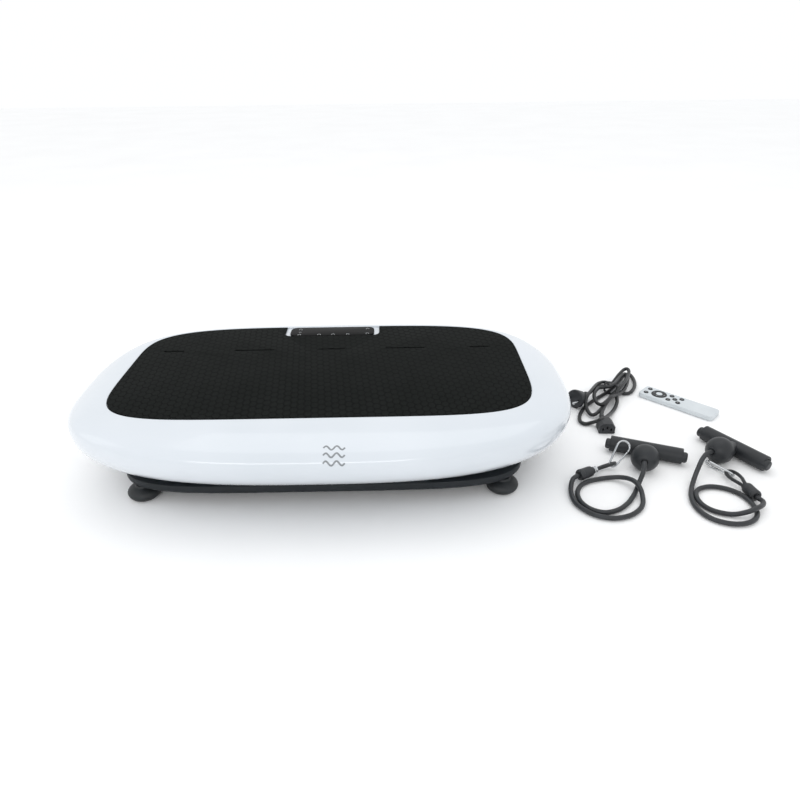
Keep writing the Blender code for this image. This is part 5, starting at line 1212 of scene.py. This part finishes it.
def foot(name):
    """(radius, height) down a neck, over a dome and round a lip, turned about the foot's own middle."""
    low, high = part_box(name)
    rim, tall = (high.x - low.x) / 2, high.z
    profile = (
        (0.0, tall), (rim * 0.46, tall), (rim * 0.48, tall * 0.86), (rim * 0.66, tall * 0.80),
        (rim * 0.88, tall * 0.66),
        (rim * 0.985, tall * 0.50), (rim, tall * 0.36), (rim * 0.95, tall * 0.20),
        (
            rim * 0.84, tall * 0.05
        ), (rim * 0.76, 0.0), (rim * 0.62, 0.0), (rim * 0.30, tall * 0.09), (0.0, tall * 0.10),
    )
    place = Matrix.Translation(((low.x + high.x) / 2, (low.y + high.y) / 2, 0.0))
    return stand_for(skin(f"{name}_rubber", lathe(rounded(profile, 0.002), place, 96), FOOT_RUBBER), name)


base_pan()
for name in ("foot_front_left", "foot_front_right", "foot_rear_left", "foot_rear_right"):
    foot(name)
print("base and feet made")

# %% [markdown]
# ## Remote control
#
# A slim two-part case in satin white plastic. The outline is a rounded rectangle, and quarter rounds draw
# it in above and below. The keys are separate: small black buttons with a pale printed sign, and a
# four-way ring round a white centre key. Each rides on its own body, so it can be pressed.

# %% Remote case
SATIN_WHITE = moulded(
    "satin_white_abs", "#d0d6d9", "#c8ced2", 0.030, (0.30, 0.42), 0.0008, 0.00003, IOR=1.53,
)
KEY_BLACK = moulded(
    "moulded_key_rubber", "#15171a", "#1f2226", 0.004, (0.40, 0.52), 0.0004, 0.00003, IOR=1.5
)
REMOTE = Matrix.Translation((0.478, 0.130, 0.0)) @ Matrix.Rotation(math.radians(-46.0), 4, "Z")
KEY_PLACES = {
    "key_head_left": (-0.0590, -0.0088), "key_head_right": (-0.0590, 0.0088),
    "key_upper_left": (
        -0.0160, -0.0088
    ), "key_upper_right": (-0.0160, 0.0088), "key_middle": (-0.0066, 0.0),
    "key_lower_left": (0.0028, -0.0088), "key_lower_right": (0.0028, 0.0088),
}
RING_AT = (-0.0372, 0.0)


def remote_case():
    """The shell with pockets for the keys and the channel for the battery cover cut from it."""
    outline = rounded_outline(0.140, 0.039, 0.007)
    case = skin("case", moved(slab(outline, 0.0003, 0.0090, 0.0016, 0.0010), REMOTE), SATIN_WHITE)
    cutters = []
    for (x, y), radius in [(place, 0.0046) for place in KEY_PLACES.values()] + [(RING_AT, 0.0142)]:
        profile = [(0.0, 0.0060), (radius, 0.0060), (radius, 0.0120), (0.0, 0.0120)]
        rings = lathe(profile, REMOTE @ Matrix.Translation((x, y, 0.0)), 48)
        cutters.append(skin("pocket", rings, SATIN_WHITE))
    channel = box_rings((0.070 - 0.0563, -0.0123, -0.001), (0.0703, 0.0123, 0.0024))
    cutters.append(skin("channel", moved(channel, REMOTE), SATIN_WHITE))
    carve(case, cutters)
    case.name = "remote_shell"
    return stand_for(case, "remote_case")


def battery_cover():
    """A sliding cover with three finger grooves across its outer end."""
    cover = box_rings((0.0140, -0.0120, 0.0003), (0.0700, 0.0120, 0.0021), 0.0003)
    made = skin("battery_door", moved(cover, REMOTE), SATIN_WHITE)
    grooves = []
    for i in range(3):
        x = 0.0190 + 0.0022 * i
        block = box_rings((x, -0.0070, -0.0005), (x + 0.0010, 0.0070, 0.0007), 0.0002)
        grooves.append(skin("groove", moved(block, REMOTE), SATIN_WHITE))
    return stand_for(carve(made, grooves), "battery_cover")


remote_case()
battery_cover()


# %% Remote keys
def sign_line(kind):
    """Lines of a generic sign, 4 mm across at most: a ring with a stroke, a plus, a minus or a chevron."""
    if kind == "power":
        return [arc((0, 0), 0.0016, 120, 420), np.array([(-0.0019, 0.0), (-0.0002, 0.0)])]
    if kind == "plus":
        return [np.array([(-0.0016, 0), (0.0016, 0)]), np.array([(0, -0.0016), (0, 0.0016)])]
    if kind == "minus":
        return [np.array([(0, -0.0016), (0, 0.0016)])]
    return [np.array([(0.0012, -0.0014), (-0.0014, 0.0), (0.0012, 0.0014)])]


def key(name, kind):
    """A dished button with a rounded rim, and its sign lying in the dish."""
    x, y = KEY_PLACES[name]
    place = REMOTE @ Matrix.Translation((x, y, 0.0))
    profile = [(0.0, 0.0073), (0.0042, 0.0073), (0.0042, 0.0101), (0.0030, 0.0100), (0.0, 0.0098)]
    made = skin(f"{name}_button", lathe(rounded(profile, 0.0006), place, 48), KEY_BLACK)
    stand_for(made, name)
    parts = []
    for line in sign_line(kind):
        corners, quads, caps, uvs = band_shape(line, 0.0006, 0.0097, 0.01006)
        parts.append((moved(corners, place), quads, caps, uvs))
    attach(piece(f"{name}_sign", parts, PRINT), BODY_OF[name])


for name, kind in (
    ("key_head_left", "power"), ("key_head_right", "turn"),
    ("key_upper_left", "plus"), ("key_upper_right", "plus"),
    ("key_middle", "turn"), ("key_lower_left", "minus"), ("key_lower_right", "minus"),
):
    key(name, kind)

place = REMOTE @ Matrix.Translation((*RING_AT, 0.0))
profile = [
    (0.0062, 0.0073), (0.0138, 0.0073), (0.0138, 0.0099), (0.0124, 0.0101), (0.0074, 0.0099),
    (0.0062, 0.0096)
]
ring_rings = lathe(np.vstack([rounded(profile, 0.0006)]), place, 72)
stand_for(skin("four_way_ring", ring_rings, KEY_BLACK, loop=True), "key_ring")
profile = [(0.0, 0.0073), (0.0058, 0.0073), (0.0058, 0.0104), (0.0040, 0.0103), (0.0, 0.0100)]
stand_for(skin("centre_button", lathe(rounded(profile, 0.0006), place, 56), SATIN_WHITE), "key_centre")
parts = []
for quarter_turn in range(4):
    turned_place = place @ Matrix.Rotation(
        math.radians(90 * quarter_turn), 4, "Z"
    ) @ Matrix.Translation((-0.0100, 0.0, 0.0))
    corners, quads, caps, uvs = band_shape(sign_line("turn")[0] * 0.9, 0.0006, 0.0097, 0.01012)
    parts.append((moved(corners, turned_place), quads, caps, uvs))
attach(piece("four_way_signs", parts, PRINT), BODY_OF["key_ring"])
print("remote made")

# %% [markdown]
# ## Grips
#
# Each band ends in a T-shaped grip: a round bar moulded in one with a slimmer rib that stands proud at
# both ends, a stem, and a ball cap screwed on the stem. The cap shows its parting line as a fine groove
# and has a small collar where the band comes out.

# %% Grips
def grip(side):
    """Three turned shapes in one moulding: the bar, the rib beside it and the stem, each with soft edges."""
    place = handle_frame(side)
    along_x = Matrix.Rotation(math.radians(90), 4, "Y")
    bar = [
        (0.0, 0.0530), (0.0080, 0.0530), (0.0088, 0.0545), (0.0094, 0.0560), (0.0127, 0.0560),
        (0.0127, -0.0560)
    ]
    bar += [(0.0094, -0.0560), (0.0088, -0.0545), (0.0080, -0.0530), (0.0, -0.0530)]
    rib = [(0.0, 0.0630), (0.0085, 0.0630), (0.0085, -0.0630), (0.0, -0.0630)]
    stem_top = BALL_REACH - math.sqrt(BALL_RADIUS**2 - 0.0150**2)
    stem = [
        (0.0, -0.002), (0.0110, -0.002), (0.0116, 0.012), (0.0132, stem_top - 0.004), (0.0150, stem_top),
        (0.0, stem_top)
    ]
    shapes = [
        moved(lathe(rounded(bar, 0.0016), along_x, 64), place),
        moved(lathe(rounded(rib, 0.0040), Matrix.Translation((0.0, 0.0040, 0.0)) @ along_x, 56), place),
        moved(lathe(rounded(stem, 0.0020), Matrix.Rotation(math.radians(-90), 4, "X"), 64), place),
    ]
    return stand_for(
        piece(f"{side}_grip", [skin_parts(rings) for rings in shapes], MOULDED_GRIP),
        f"{side}_handle_grip"
    )


def ball_cap(side):
    """A sphere from the bore to the stem: radius R sin a, height R cos a, with a groove at its widest."""
    bore, first = 0.0044, math.asin(0.0064 / BALL_RADIUS)
    last = math.pi - math.asin(0.0150 / BALL_RADIUS)
    a = np.linspace(first, last, 60)
    radius = BALL_RADIUS - 0.0007 * np.exp(-(((a - 1.92) / 0.028) ** 2))
    shell_line = np.stack([radius * np.sin(a), radius * np.cos(a)], 1)
    top = BALL_RADIUS * math.cos(first)
    mouth = [(0.0, BALL_RADIUS - BAND_INSERT), (bore, BALL_RADIUS - BAND_INSERT), (bore, top + 0.0008)]
    mouth += [(0.0048, top + 0.0014), (0.0060, top + 0.0014), (0.0064, top + 0.0006)]
    foot_line = [(0.0150, shell_line[-1, 1] + 0.0002), (0.0, shell_line[-1, 1] + 0.0002)]
    profile = np.vstack([mouth, shell_line, foot_line])
    place = handle_frame(side) @ Matrix.Translation((0.0, BALL_REACH, 0.0)) @ Matrix.Rotation(
        math.radians(-90), 4, "X"
    )
    return stand_for(skin(f"{side}_cap", lathe(profile, place, 72), MOULDED_GRIP), f"{side}_ball_cap")


for side in ("left", "right"):
    grip(side)
    ball_cap(side)
print("grips made")

# %% [markdown]
# ## Anchors and inner parts
#
# The wire bows on the base and the parts inside keep their CAD shapes, which are right. They get the
# finishes of the real things: zinc-plated sheet, die-cast aluminium with its fine grain, ground shafts,
# stoved motor paint, a green board and a rubber belt.

# %% Inner finishes
ZINC_SHEET = moulded(
    "zinc_plated_sheet", "#b9bcbe", "#9da1a5", 0.012, (0.30, 0.45), 0.0012, 0.00003, Metallic=1.0
)
CAST_ALUMINIUM = moulded(
    "die_cast_aluminium", "#a3a6a8", "#8d9093", 0.020, (0.45, 0.60), 0.0009, 0.00012, Metallic=1.0
)
GROUND_STEEL = moulded(
    "ground_steel_shaft", "#c4c7c9", "#b3b6b9", 0.010, (0.15, 0.25), 0.0005, 0.00001, Metallic=1.0
)
MOTOR_PAINT = moulded(
    "stoved_motor_paint", "#232427", "#2d2f33", 0.020, (0.35, 0.50), 0.0014, 0.00008, IOR=1.5
)
BOARD_GREEN = moulded(
    "green_solder_mask", "#0c4a25", "#0f5a2e", 0.008, (0.25, 0.40), 0.0010, 0.00006, IOR=1.5
)
BELT_RUBBER = moulded(
    "moulded_belt_rubber", "#17181a", "#222427", 0.006, (0.60, 0.75), 0.0008, 0.00010, IOR=1.52
)
for finish_used, names in (
    (ZINC_SHEET, ("deck_frame", "motor_cradle")),
    (
        CAST_ALUMINIUM,
        (
            "connecting_rod", "pivot_block_front", "pivot_block_rear", "crank_block_front",
            "crank_block_rear"
        )
    ),
    (GROUND_STEEL, ("pivot_shaft", "eccentric_shaft", "driven_pulley", "motor_pulley")),
    (PLATED_WIRE, ("band_anchor_left", "band_anchor_right")),
    (MOTOR_PAINT, ("motor",)),
    (BOARD_GREEN, ("power_board", "control_board")),
    (BELT_RUBBER, ("drive_belt",)),
    (MOULDED_PLUG, ("inlet_socket", "power_switch")),
):
    for name in names:
        for material_slot in frame["nodes"][name].material_slots:
            material_slot.material = finish_used

# %% [markdown]
# ## Floor and light
#
# The set stands on plain white card under large soft lights, as for a catalogue: one wide panel overhead
# and a little behind, one long panel low in front that draws the streaks on the shell, and a pale room.

# %% Stage
def stage_floor():
    material, tree, shader, place = new_finish("white_card", Roughness=0.9)
    tree.links.new(drift(tree, place, "#fdfdfd", "#fafafa", 0.4), shader.inputs["Base Color"])
    mesh = bpy.data.meshes.new("floor")
    mesh.from_pydata(
        [(-8, -8, -0.0006), (8, -8, -0.0006), (8, 8, -0.0006), (-8, 8, -0.0006)], [], [(0, 1, 2, 3)]
    )
    mesh.materials.append(material)
    floor = bpy.data.objects.new("floor", mesh)
    bpy.context.scene.collection.objects.link(floor)


def soft_panel(name, at, towards, size, watts):
    light = bpy.data.lights.new(name, "AREA")
    light.shape = "RECTANGLE"
    light.size, light.size_y = size
    light.energy = watts
    lamp = bpy.data.objects.new(name, light)
    bpy.context.scene.collection.objects.link(lamp)
    way = Vector(towards) - Vector(at)
    lamp.matrix_world = Matrix.Translation(at) @ way.to_track_quat("-Z", "Y").to_matrix().to_4x4()


stage_floor()
soft_panel("overhead_panel", (0.1, 0.5, 2.2), (0.0, 0.0, 0.0), (2.6, 1.6), 8.0)
soft_panel("front_panel", (-0.5, -1.9, 1.1), (-0.1, 0.0, 0.1), (1.6, 0.25), 5.0)
soft_panel("left_panel", (-2.0, -0.2, 1.0), (-0.1, 0.0, 0.1), (0.8, 1.2), 1.5)
world = bpy.data.worlds.new("pale_room")
world.use_nodes = True
world.node_tree.nodes["Background"].inputs["Color"].default_value = (0.98, 0.99, 1.0, 1.0)
world.node_tree.nodes["Background"].inputs["Strength"].default_value = 1.02
bpy.context.scene.world = world
# Colours are shown as they are, with no film curve, so that white card stays white and black stays black.
bpy.context.scene.view_settings.view_transform = "Standard"

# %% Finish
bpy.context.view_layer.update()
